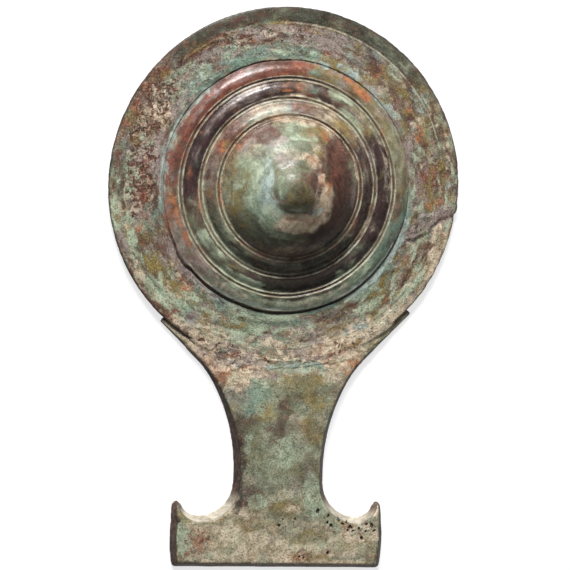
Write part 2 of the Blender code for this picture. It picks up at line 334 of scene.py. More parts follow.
def crust_lift(points, radius, turn, plate):
    """Crust at the left and the top of the plate, pitted down to the metal."""
    left = 1.2 * smooth_ramp(48 - arc_gap(turn, 152), 0, 18) * smooth_ramp(radius, 76 * MM, 82 * MM)
    top = smooth_ramp(24 - arc_gap(turn, 97), 0, 10) * smooth_ramp(radius, 79 * MM, 84 * MM)
    crust = plate * np.clip(left + top, 0, 1) * smooth_ramp(96 * MM - radius, 0, 4 * MM)
    pits = smooth_ramp(grain(points, 3.2 * MM, 8, 3), 0.12, 0.55)
    return MM * crust * (0.15 * grain(points, 5 * MM, 9) - 0.42 * pits)


def flake_lift(points):
    """The flake over the crack, with its raw lower edge."""
    flake, raw = flake_of(points)
    scale = smooth_ramp(flake, -0.3, 0.4) * (0.3 + 0.3 * grain(points, 3 * MM, 13))
    return MM * (scale - 0.5 * bell(flake + 0.8, 0.6) * raw - 0.2 * bell(flake - 3.2, 0.5))


def edge_loss(points, radius, turn):
    """How far the edge is eaten inward: small nicks, and a step where the crack reaches it."""
    rim = smooth_ramp(radius, DISC_RADIUS - 3 * MM, DISC_RADIUS)
    inward = 0.35 * np.abs(grain(points * np.array((1, 1, 0)), 7 * MM, 21))
    inward += 0.5 * smooth_ramp(-8.5 - turn, 0, 1.5) * smooth_ramp(turn, -40, -20)
    inward += 0.9 * bell(turn + 8.6, 0.8)
    return MM * rim * inward


def foot_wander(radius, turn, ray):
    """How far the outer moulding's foot strays outward, most where it is chipped towards the lower left."""
    wander = 0.5 * grain(ray * 3, 0.8, 31, 2)
    wander += 1.5 * smooth_ramp(turn, -152, -149) * smooth_ramp(-turn, 139, 143)
    return MM * wander * bell(radius - STEP_RADIUS, 2.4 * MM)


def weather_disc(piece):
    """Wears, dents and pits the disc's front as the ground has done, and nibbles its edge."""
    points, out = points_of(piece), normals_of(piece)
    radius, turn = polar(points)
    ray = np.stack([np.cos(np.radians(turn)), np.sin(np.radians(turn)), np.zeros(len(turn))], 1)
    front = smooth_ramp(out[:, 2], -0.1, 0.3)
    plate = smooth_ramp(radius, 70 * MM, 78 * MM)
    lift = -engraving(radius) * wear_of(points, radius, turn)
    lift += step_lift(radius, turn) + swell_lift(radius, turn) + uneven_lift(points, radius, ray, plate)
    lift += crust_lift(points, radius, turn, plate) + flake_lift(points)
    outward = front * foot_wander(radius, turn, ray) - edge_loss(points, radius, turn)
    moved = points + out * (front * lift)[:, None] + ray * outward[:, None]
    move_points(piece, np.clip(moved, DISC_LOW, DISC_HIGH))


def build_disc():
    piece = start_piece(bpy.ops.mesh.primitive_plane_add, "mirror_disc", size=MM)
    trace_line(disc_section())
    bpy.ops.mesh.select_all(action="SELECT")
    bpy.ops.mesh.spin(steps=DISC_STEPS, angle=math.tau, center=(0, 0, 0), axis=(0, 0, 1))
    tidy_skin()
    bpy.ops.object.mode_set(mode="OBJECT")
    piece.rotation_euler = (-DISC_LEAN, 0.0, 0.0)
    piece.location = DISC_PLACE
    apply_all(piece)
    weather_disc(piece)
    bpy.ops.object.shade_smooth()
    return piece


# ---------------------------------------------------------------- the handle

# Gas holes from the casting, by the bay on the right of the foot: x, y and half width, in mm
CASTING_HOLES = (
    (23.3, -127.0, 0.95), (29.5, -129.8, 0.6), (29.4, -133.8, 0.6), (31.2, -135.5, 0.85),
    (35.9, -132.3, 0.75), (38.3, -134.8, 0.8), (41.0, -134.0, 0.8), (42.6, -136.6, 0.75),
    (43.8, -137.0, 0.6), (44.5, -139.0, 0.75), (41.2, -138.6, 0.55), (48.2, -137.7, 0.6),
    (52.4, -135.2, 0.75), (55.4, -135.6, 0.75), (56.3, -136.6, 0.7), (57.2, -139.1, 0.8),
    (52.4, -139.4, 0.75), (50.0, -143.3, 0.85), (30.2, -151.6, 0.65), (13.0, -153.6, 0.6),
    (0.6, -135.1, 0.9), (10.1, -131.5, 0.5), (15.8, -154.2, 0.5), (3.0, -131.5, 0.45),
)
HOLE_DEPTH = 0.9 * MM
HORN_SWELL = {-1: (1.5 * MM, 0.5 * MM), 1: (0.6 * MM, 0.8 * MM)}  # each tip, away from its bay and into it


def copy_of_node(node, name):
    """A merged copy of one of the frame's solids, in a mesh of its own."""
    deselect()
    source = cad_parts[node]
    piece = source.copy()
    piece.data = source.data.copy()
    piece.name = name
    piece.data.name = name
    piece.parent = None
    piece.matrix_world = Matrix.Identity(4)
    bpy.context.scene.collection.objects.link(piece)
    pick(piece)
    bpy.ops.object.mode_set(mode="EDIT")
    bpy.ops.mesh.select_all(action="SELECT")
    bpy.ops.mesh.remove_doubles(threshold=0.005 * MM)
    bpy.ops.mesh.customdata_custom_splitnormals_clear()
    bpy.ops.object.mode_set(mode="OBJECT")
    return piece


def choose_points(piece, chosen):
    """Opens a piece in edit mode with the points chosen, and nothing else, selected."""
    pick(piece)
    bpy.ops.object.mode_set(mode="EDIT")
    bpy.ops.mesh.select_mode(type="VERT")
    bpy.ops.mesh.select_all(action="DESELECT")
    bpy.ops.object.mode_set(mode="OBJECT")
    piece.data.vertices.foreach_set("select", chosen)
    bpy.ops.object.mode_set(mode="EDIT")


def subdivide_near(piece, places, reach, cuts):
    """Makes the front's faces finer round the places given."""
    points = points_of(piece)
    up = normals_of(piece)[:, 2] > 0.3
    chosen = np.zeros(len(points), bool)
    for x, y, _ in places:
        chosen |= up & (np.hypot(points[:, 0] - x * MM, points[:, 1] - y * MM) < reach)
    choose_points(piece, chosen)
    bpy.ops.mesh.subdivide(number_cuts=cuts)
    bpy.ops.object.mode_set(mode="OBJECT")


def holes_of(points):
    """Where the casting's gas holes are, 1 at their floors."""
    x, y = points[:, 0] / MM, points[:, 1] / MM
    deep = np.zeros(len(points))
    for hole_x, hole_y, half in CASTING_HOLES:
        across, down = x - hole_x + 0.25 * np.sin(y * 2.1), (y - hole_y) * (0.85 + 0.3 * math.sin(hole_x))
        deep = np.maximum(deep, smooth_ramp(half * 1.25 - np.hypot(across, down), 0, half * 0.8))
    return deep


def weather_handle(piece):
    """Pits and crusts the handle's front, corrodes the grip's edge and opens the casting's holes."""
    points, out = points_of(piece), normals_of(piece)
    x, y = points[:, 0] / MM, points[:, 1] / MM
    front = smooth_ramp(out[:, 2], 0.0, 0.5)
    lift = (front + 0.5) * 0.1 * MM * grain(points, 11 * MM, 41)
    lift += 0.05 * MM * grain(points, 2.4 * MM, 42)
    # lumpy crust where the handle meets the disc, at both shoulders
    left = smooth_ramp(26 - np.hypot(x + 28, (y + 44) * 1.4), 0, 12)
    right = smooth_ramp(22 - np.hypot((x - 36) * 0.9, (y + 38) * 1.2), 0, 12)
    pits = smooth_ramp(grain(points, 2.2 * MM, 44), 0.1, 0.5)
    lumps = 0.15 + 0.3 * grain(points, 4.5 * MM, 43) - 0.25 * pits
    lift += front * np.clip(left + right, 0, 1) * MM * lumps
    # corroded left edge of the grip
    edge = bell(x + 22.5 - 0.002 * (y + 100) ** 2, 3.0)
    edge = edge * smooth_ramp(-y, 75, 90) * smooth_ramp(y, -128, -115)
    lift -= front * edge * 0.3 * MM * smooth_ramp(grain(points, 2.6 * MM, 45), -0.1, 0.4)
    lift -= front * HOLE_DEPTH * holes_of(points)
    points = points + out * lift[:, None]
    swell_horns(points, x, y)
    points[:, 2] = np.maximum(points[:, 2], 0.0)
    move_points(piece, points)


def swell_horns(points, x, y):
    """Makes the horns' tips blunt, the left one's the more. The points' old places are given in mm."""
    for side, (outward, inward) in HORN_SWELL.items():
        horn = np.flatnonzero((x * side > 48) & (y > -135) & (y < -100))
        row, reach = np.round((y[horn] + 140) / 0.8).astype(int), x[horn] * side
        near, far = np.full(row.max() + 1, 1e9), np.zeros(row.max() + 1)
        np.minimum.at(near, row, reach)
        np.maximum.at(far, row, reach)
        across = (far[row] - reach) / np.maximum(far[row] - near[row], 0.5)
        top = y[horn].max()
        rise = smooth_ramp(y[horn], top - 14, top), smooth_ramp(y[horn], top - 8, top - 1)
        points[horn, 0] += side * (rise[0] * outward * (1 - across) - rise[1] * inward * across)
        points[horn, 1] -= 0.8 * MM * (2 * across - 1) ** 4 * smooth_ramp(y[horn], top - 3, top)


def build_handle():
    """The cast plate: the frame's own solid, made one skin of even small faces and softened by wear."""
    piece = copy_of_node("handle", "mirror_handle")
    skin = piece.modifiers.new("even skin", "REMESH")
    skin.mode = "VOXEL"
    skin.voxel_size = 0.7 * MM
    wear = piece.modifiers.new("wear", "SMOOTH")
    wear.factor = 0.5
    wear.iterations = 3
    apply_all(piece)
    subdivide_near(piece, CASTING_HOLES, 1.8 * MM, 2)
    weather_handle(piece)
    pick(piece)
    bpy.ops.object.shade_smooth()
    return piece


# ---------------------------------------------------------------- the crust over the joint

JOINT_FROM, JOINT_TO = -121.5, -49.5  # the turns between which corrosion covers the joint, in degrees
JOINT_REACH = (95.5 * MM, 108.5 * MM)  # how near to the disc's axis it comes, and how far it goes
JOINT_ALONG, JOINT_ACROSS = 260, 30  # how many cells its grid has each way
JOINT_SINK, JOINT_SKIN = 0.4, 0.9  # how deep its edges dip under the metal and how thick it is, in mm


def ground_under(x, y, pieces):
    """Height of the highest of the pieces under each place, 0 where there is none."""
    grounds = []
    for piece in pieces:
        corners = [v.co for v in piece.data.vertices]
        grounds.append(BVHTree.FromPolygons(corners, [f.vertices for f in piece.data.polygons]))
    heights = []
    for place in zip(x, y):
        hits = [ground.ray_cast(Vector((*place, 50 * MM)), Vector((0, 0, -1)))[0] for ground in grounds]
        heights.append(max([hit.z for hit in hits if hit], default=0.0))
    return np.array(heights)


def bridge(heights, flat):
    """Spans the seam: the highest of the neighbours across it, smoothed."""
    order = np.lexsort((flat[:, 1], flat[:, 0]))
    rows = heights[order].reshape(-1, JOINT_ACROSS + 1)
    rows = np.max([np.roll(rows, shift, axis=1) for shift in range(-3, 4)], axis=0)
    for _ in range(3):
        rows = (np.roll(rows, 1, axis=1) + 2 * rows + np.roll(rows, -1, axis=1)) / 4
    bridged = np.empty(len(flat))
    bridged[order] = rows.ravel()
    return bridged


def joint_rise(points, across, ends):
    """How high the crust stands: in tongues to either side of the seam, and only a thread in the middle."""
    width = 3.2 + 1.2 * grain(points, 9 * MM, 51) + 2.0 * smooth_ramp(np.abs(points[:, 0] / MM - 8), 10, 26)
    cover = ends * smooth_ramp(width - np.abs(across + 0.3), -1.2, 1.2)
    rise = 0.2 + 0.25 * grain(points, 3.0 * MM, 52) + 0.1 * grain(points, 1.3 * MM, 53)
    return MM * (cover * (rise + JOINT_SINK) - JOINT_SINK)


def build_joint_crust(disc, handle):
    """The skin of corrosion that has grown over the seam between the disc's edge and the handle."""
    cells = {"x_subdivisions": JOINT_ALONG, "y_subdivisions": JOINT_ACROSS}
    piece = start_piece(bpy.ops.mesh.primitive_grid_add, "joint_crust", size=2.0, **cells)
    bpy.ops.object.mode_set(mode="OBJECT")
    flat = points_of(piece)
    turn = np.radians(JOINT_FROM + (JOINT_TO - JOINT_FROM) * (flat[:, 0] + 1) / 2)
    radius = JOINT_REACH[0] + (JOINT_REACH[1] - JOINT_REACH[0]) * (flat[:, 1] + 1) / 2
    x, y = radius * np.cos(turn) + DISC_PLACE.x, radius * np.sin(turn) + DISC_PLACE.y
    heights = ground_under(x, y, (disc, handle))
    held = heights > 0.8 * MM
    height = np.where(np.abs(radius - DISC_RADIUS) < 2.6 * MM, bridge(heights, flat), heights)
    points = np.stack([x, y, height], 1)
    across = (radius - DISC_RADIUS) / MM
    ends = smooth_ramp(1 - np.abs(flat[:, 0]), 0.0, 0.12)
    points[:, 2] += joint_rise(points, across, ends)
    move_points(piece, points)
    choose_points(piece, ~held)
    bpy.ops.mesh.delete(type="VERT")
    bpy.ops.mesh.select_all(action="SELECT")
    bpy.ops.mesh.extrude_region_move(TRANSFORM_OT_translate={"value": (0.0, 0.0, -JOINT_SKIN * MM)})
    tidy_skin()
    bpy.ops.object.mode_set(mode="OBJECT")
    points = points_of(piece)
    points[:, 2] = np.maximum(points[:, 2], 0.0)
    move_points(piece, points)
    bpy.ops.object.shade_smooth()
    return piece


# ---------------------------------------------------------------- where each colour of the patina lies

# Bands that follow the disc's rings: turn of the middle and half the length in degrees, distance from the
# axis and half the width in mm, and how much of the place the colour covers
BANDS = {
    "slate": (
        (107, 9, 78, 3, 0.9), (74, 18, 99, 4.4, 2.4), (84, 9, 77, 3, 0.8), (106, 14, 97, 4, 0.9),
        # slate at (-90, 50, 46), (-60, 30, 56), (-100, 60, 33), (-140, 30, 56) and (-92, 38, 66) lies under
        # the dome and is painted shadow: the dome's shade drawn dark over its foot and the mouldings
        (70, 16, 96, 4, 0.8), (85, 52, 98.8, 4.6, 1.5), (45, 18, 99, 3.6, 1.0), (-90, 50, 46, 4, 0.9),
        (-60, 30, 56, 4, 0.5), (-100, 60, 33, 6, 0.25), (205, 24, 46, 4, 0.35), (-140, 30, 56, 4, 0.4),
        (-92, 38, 66, 3.6, 0.35), (4, 22, 33.5, 3.4, 0.6), (-5, 10, 66, 3, 0.4),
    ),
    "mint": (
        (-53, 9, 59, 3, 1.3), (-110, 9, 58.4, 2.6, 2.0), (-168, 7, 100, 2.4, 1.2),
        (-129, 8, 48, 2.4, 1.8), (-50, 12, 65, 3, 0.9), (58, 8, 59.6, 2, 0.6), (-132, 7, 91, 4, 3.0),
        (-51, 7, 78, 3, 1.4), (-111, 12, 62.6, 3, 1.8), (-104, 9, 84, 4, 2.0), (71, 6, 51, 2.4, 1.4),
        (-45, 9, 97, 3, 1.4), (-143, 12, 55.6, 3, 0.8), (-131, 14, 48.6, 2.4, 1.4), (48, 10, 52, 3, 1.0),
        (72, 8, 50.6, 2.4, 1.0), (-104, 10, 84, 4.4, 1.6), (-112, 20, 59, 2.4, 0.9),
        (-132, 20, 49.4, 2, 0.9), (-152, 14, 49.6, 2, 0.7), (-47, 14, 73.6, 2.2, 1.0),
        (18, 10, 84, 5, 0.7), (-12, 10, 84, 5, 0.6), (-36, 16, 84, 3, 0.7), (222, 18, 86, 3, 0.7),
        (-2, 14, 97.5, 3.6, 0.9), (-92, 34, 67, 4, 0.5), (12, 22, 67, 4.4, 0.35), (200, 28, 46, 4, 0.3),
        (178, 16, 98.5, 3.5, 0.45), (208, 20, 93.5, 4.5, 0.75), (-38, 22, 95, 4, 0.6),
        (100, 42, 45.5, 3.6, 0.25), (12, 14, 97, 4, 0.5), (-55, 12, 86, 4, 0.5),
    ),
    "teal": (
        (108, 9, 77.4, 3, 1.8), (-72, 10, 72.2, 2.8, 2.6), (83, 9, 77, 3, 1.3), (88, 12, 74.6, 1.6, 0.9),
        (146, 12, 73.6, 1.4, 0.8), (-70, 14, 72.6, 2, 0.8), (95, 22, 76, 3.6, 0.45),
        (128, 14, 77, 4.5, 0.6), (-95, 36, 66.5, 4.6, 0.4), (-45, 25, 66.5, 4, 0.55),
        (-100, 22, 76, 4.0, 0.5), (-12, 12, 71, 3, 0.7), (66, 8, 67, 4, 0.3), (77, 5, 57, 3, 0.5),
    ),
    "ice": (
        (-47, 12, 72.6, 3, 3.2), (-33, 9, 72.6, 2.4, 2.0), (-50, 7, 77, 2.4, 1.0), (-19, 9, 74, 2.4, 1.6),
        # ice at (104, 14, 46) is partly painted highlight: the white glare on the inner moulding's top
        (104, 14, 46, 3.4, 0.5), (-90, 40, 69.6, 1.6, 0.7), (146, 20, 71.8, 1.8, 0.8),
        (178, 16, 71.8, 1.6, 0.55), (50, 16, 73.5, 2.0, 0.6), (-92, 42, 70.6, 1.0, 0.9),
        (-12, 9, 73.5, 2.0, 0.55),
    ),
    "grey_green": (
        (58, 12, 59, 3, 0.9), (34, 12, 59.4, 2.4, 0.8), (-50, 12, 65, 3.4, 0.8),
        (-94, 50, 66.6, 4.6, 0.6), (20, 30, 66.5, 4.6, 0.4), (-60, 26, 46, 4, 0.4),
        (215, 20, 56, 4.6, 0.5), (78, 30, 97.6, 4.5, 0.9), (100, 20, 98.5, 4, 0.6),
        (52, 22, 96.5, 4.5, 0.8), (28, 10, 95, 5, 0.6), (212, 34, 45.8, 4, 0.6),
        (-88, 46, 45.8, 3.6, 0.5), (12, 40, 36.5, 2.4, 0.6), (22, 12, 90, 6, 0.5),
        (-90, 60, 66.5, 5, 0.4), (-110, 22, 56, 5, 0.35),
    ),
    "lilac": (
        (23, 8, 51, 2.4, 1.3), (107, 9, 77.4, 3, 0.6), (144, 8, 75.6, 3.6, 2.2),
        (-145, 10, 74.4, 3.4, 3.0), (-153, 8, 77, 3, 2.0), (144, 8, 76.5, 3.4, 1.7),
        (-160, 8, 99.6, 2.4, 1.3), (-148, 12, 75.4, 3, 1.4), (-20, 8, 72, 2.4, 0.9),
        # lilac at (113, 12, 59.6), (136, 16, 57.4), (114, 8, 54), (110, 16, 66.8), (130, 22, 56.5) and
        # (122, 26, 67.2) is partly painted sheen: the lilac glint of the mouldings' polish on their upper
        # left
        (113, 12, 59.6, 2, 1.0), (92, 14, 88, 4, 0.9), (60, 12, 82, 4, 0.6), (136, 16, 57.4, 1.6, 1.5),
        (114, 8, 54, 1.4, 1.2), (160, 6, 57, 2, 1.0), (14, 12, 57, 1.4, 0.9), (110, 16, 66.8, 2.0, 0.9),
        (130, 22, 56.5, 1.6, 0.9), (122, 26, 67.2, 1.5, 0.9), (148, 10, 55.6, 1.6, 0.5),
        (212, 24, 66.5, 4.6, 0.6), (82, 12, 46, 3.6, 0.6), (165, 16, 46, 3.6, 0.5),
        (227, 22, 71, 5.5, 0.55), (74, 20, 86, 5.5, 0.75), (112, 12, 86, 6, 0.55), (68, 9, 67, 4, 0.55),
        (166, 18, 76.5, 3.2, 0.8), (40, 18, 73, 4, 0.35), (118, 26, 46.5, 2.6, 0.4), (5, 18, 74, 4, 0.5),
        (248, 12, 74, 4, 0.4),
    ),
    "umber": (
        (96, 7, 60, 2.4, 1.6), (-138, 16, 100.6, 2, 1.3), (-77, 14, 40, 2, 1.2), (-31, 12, 42, 2.4, 1.2),
        (122, 10, 57, 2.4, 0.9), (99, 12, 68.6, 3, 2.2), (73, 12, 97.6, 3, 1.6), (105, 10, 97, 3, 2.6),
        (4, 8, 99.6, 2.6, 2.4), (163, 8, 78, 3, 1.1), (115, 10, 90, 3, 0.9), (35, 8, 84, 3, 0.9),
        (176, 8, 86, 3, 0.9), (22, 6, 83, 3, 1.0), (101, 14, 69.8, 2.4, 1.7), (14, 10, 41, 2, 1.1),
        (-13, 12, 39.8, 2, 1.4), (-176, 9, 77, 3, 1.2), (108, 12, 97, 3.4, 2.0),
        (136, 12, 99.6, 2.4, 1.6), (23, 9, 94, 3.6, 1.5), (178, 9, 95, 2.4, 1.2), (-164, 8, 90, 3, 0.6),
        (66, 8, 87, 3, 0.7), (12, 7, 83, 3, 1.1), (164, 12, 64.5, 3, 0.8), (107, 16, 97.5, 3.4, 1.2),
        (176, 10, 98, 2.4, 0.7), (168, 8, 97, 3, 0.8), (0, 9, 40.4, 2, 0.9), (98, 16, 84, 1.6, 0.6),
        (70, 10, 80, 2, 0.6), (-62, 14, 79, 3, 0.6), (136, 8, 45.5, 3, 1.0), (158, 6, 46, 3, 0.9),
        (172, 6, 45, 3, 0.8), (40, 12, 45.5, 3, 0.6), (140, 18, 98.5, 3.6, 0.8), (78, 40, 94.4, 1.2, 0.5),
        (150, 20, 74.5, 1.5, 0.4), (20, 14, 82, 4, 0.5), (88, 46, 101.4, 1.4, 0.9),
        (218, 26, 99.6, 2.6, 0.95), (45, 26, 99.8, 2.6, 0.5), (192, 22, 56, 5, 0.55),
        (212, 22, 56, 5, 0.4), (157, 14, 76.5, 3, 0.5), (5, 14, 96, 3, 0.55), (-28, 12, 84, 3, 0.55),
        (35, 40, 98.5, 3, 0.35), (180, 26, 45.5, 3.6, 0.5), (0, 16, 66.5, 4, 0.5), (232, 16, 67, 4, 0.4),
        (-38, 30, 45.5, 4, 0.5),
    ),
    "oxblood": (
        (98, 16, 68, 3.4, 1.5), (152, 20, 65, 4, 1.0), (150, 14, 97, 3, 0.6), (30, 14, 92, 3, 0.4),
        (120, 40, 67, 4.6, 1.3), (166, 16, 67.5, 4.4, 0.6), (180, 14, 84, 6, 0.45), (3, 10, 82, 4, 0.3),
        (163, 14, 86, 6, 0.35), (-80, 12, 73.5, 2.4, 0.5), (215, 14, 66.5, 4, 0.35),
        (140, 18, 45.5, 3.6, 0.45), (12, 20, 66.5, 4, 0.3), (83, 8, 46, 3.4, 0.5),
        (232, 20, 99.5, 2.4, 0.5),
    ),
    "orange": (
        (22, 5, 83, 2.6, 1.2), (34, 6, 84, 2, 0.6), (10, 4, 84, 2.4, 0.8), (72, 6, 68.4, 1.4, 0.9),
        (135, 14, 101, 1.4, 0.9), (124, 4, 53, 1.6, 1.2), (172, 5, 57.6, 1.6, 1.2),
        (148, 3, 59, 1.2, 1.0), (186, 12, 52, 1.2, 0.9), (30, 8, 62.6, 1.0, 0.6),
        (92, 12, 66.6, 3.4, 0.7), (118, 18, 63.6, 1.6, 0.4), (56, 10, 69.6, 1.4, 0.85),
        (142, 10, 99.5, 2.5, 0.45), (157, 10, 99, 3, 0.45), (193, 9, 65.6, 2.0, 0.85),
        (208, 7, 65.4, 2.0, 0.75), (92, 5, 56.8, 3, 0.6), (84, 4, 57, 3, 0.5), (150, 5, 46, 3, 0.8),
        (184, 6, 46, 3, 0.5), (32, 18, 97.5, 3, 0.35), (40, 24, 40.5, 1.4, 0.35),
        (142, 14, 40.0, 1.6, 0.45), (184, 14, 40.4, 1.4, 0.45),
    ),
    "aubergine": (
        (146, 44, 56.2, 4.9, 1.5), (100, 14, 56.4, 4.6, 0.62), (72, 10, 56.4, 4.6, 0.6),
        # aubergine at (-60, 32, 56.2), (-95, 24, 56.2), (-35, 26, 34) and (-75, 60, 38) is dark patina
        # deepened as painted shadow of the dome
        (5, 30, 56.2, 4.9, 1.4), (-22, 14, 56.2, 4.9, 1.2), (-60, 32, 56.2, 4.9, 0.8),
        (-95, 24, 56.2, 4.9, 0.75), (2, 30, 45.8, 3.8, 0.8), (128, 14, 45.5, 3.4, 0.3),
        (-35, 26, 34, 4, 0.5), (-75, 60, 38, 3, 0.3),
    ),
    "olive": (
        (-145, 9, 87, 4.4, 2.2), (73, 7, 67, 3.4, 1.8), (24, 8, 94, 4, 1.2), (74, 6, 68.6, 2.6, 1.2),
        (63, 8, 87, 4, 1.1), (45, 9, 88, 4, 0.9), (14, 6, 81, 4, 0.8), (-28, 14, 98.5, 3, 0.9),
        (-148, 14, 97, 3, 0.8), (100, 30, 92, 2, 0.3), (130, 12, 96, 4, 0.6), (30, 16, 87, 5, 0.6),
        (8, 12, 90, 5, 0.6), (20, 30, 67, 4.4, 0.5), (40, 16, 56, 4.6, 0.4), (-55, 20, 84, 5, 0.6),
        (222, 16, 81, 6, 0.5), (46, 14, 82, 6, 0.6), (60, 12, 66, 4, 0.5), (-90, 30, 36, 3, 0.4),
        (-65, 20, 76, 3, 0.4), (-70, 12, 33, 3, 0.5), (240, 14, 86, 6, 0.45), (48, 18, 46, 4, 0.4),
    ),
    "cream": (
        (12, 7, 97, 3, 0.9), (-108, 12, 95, 3, 1.2), (-117, 8, 99.6, 3, 3.6), (-70, 7, 95, 4, 3.4),
        (-45, 9, 97, 3, 2.4), (-35, 9, 100, 2.6, 2.4), (-18, 7, 95, 3.6, 2.0), (-144, 8, 77, 3, 0.8),
        (-126, 7, 98.5, 3, 1.8), (-45, 10, 98, 3, 1.8), (-20, 9, 96.5, 4, 1.5), (-34, 10, 100, 2.6, 1.7),
        (-70, 8, 95.5, 4, 2.6), (60, 8, 59.6, 2, 0.5), (30, 10, 59.6, 2, 0.6), (48, 9, 52, 2.4, 0.4),
        (-152, 8, 97.5, 3, 1.2), (12, 9, 58.6, 1.8, 0.9), (-79, 6, 96, 3, 1.2), (66, 12, 50.4, 2.4, 1.0),
        (0, 10, 58, 3, 0.4), (112, 10, 59.6, 1.6, 0.8), (-150, 12, 50, 2, 0.5),
        (-45, 10, 100.4, 1.8, 1.1), (-20, 6, 100, 2, 0.9), (-34, 16, 97, 3, 0.8), (-142, 14, 98, 3, 0.5),
        # cream at (108, 14, 46) is partly painted highlight: the white glare on the inner moulding's top
        (88, 6, 52.5, 1.2, 0.8), (70, 12, 46, 3, 0.3), (-92, 38, 67.5, 3.4, 0.45), (108, 14, 46, 4, 0.6),
        (30, 8, 56, 4, 0.3), (33, 16, 65.5, 4, 0.2), (46, 10, 56, 5, 0.2), (55, 20, 46, 4, 0.25),
        (98, 16, 86, 6, 0.2), (150, 24, 84, 8, 0.2), (186, 14, 90, 6, 0.3), (-47, 14, 94, 4, 0.5),
        (60, 60, 38, 3, 0.45), (112, 20, 39, 2.6, 0.4),
    ),
    "pitch": (
        # pitch at (-88, 34, 63.2), (-78, 30, 54.6), (-60, 22, 46), (-12, 14, 45.6) and (-95, 40, 47.5) is
        # painted shadow: the dome's cast shadow drawn near black on the mouldings below and right of it
        (110, 32, 72.4, 0.6, 0.9), (73, 14, 98, 4, 1.6), (104, 12, 98, 3, 1.2), (-88, 34, 63.2, 2.2, 1.9),
        (-78, 30, 54.6, 4.6, 2.4), (-60, 22, 46, 4, 1.2), (-12, 14, 45.6, 3.4, 0.9),
        (-95, 40, 47.5, 2, 0.6), (100, 26, 98.5, 3, 0.7), (150, 26, 101.2, 1.2, 0.5),
    ),
}

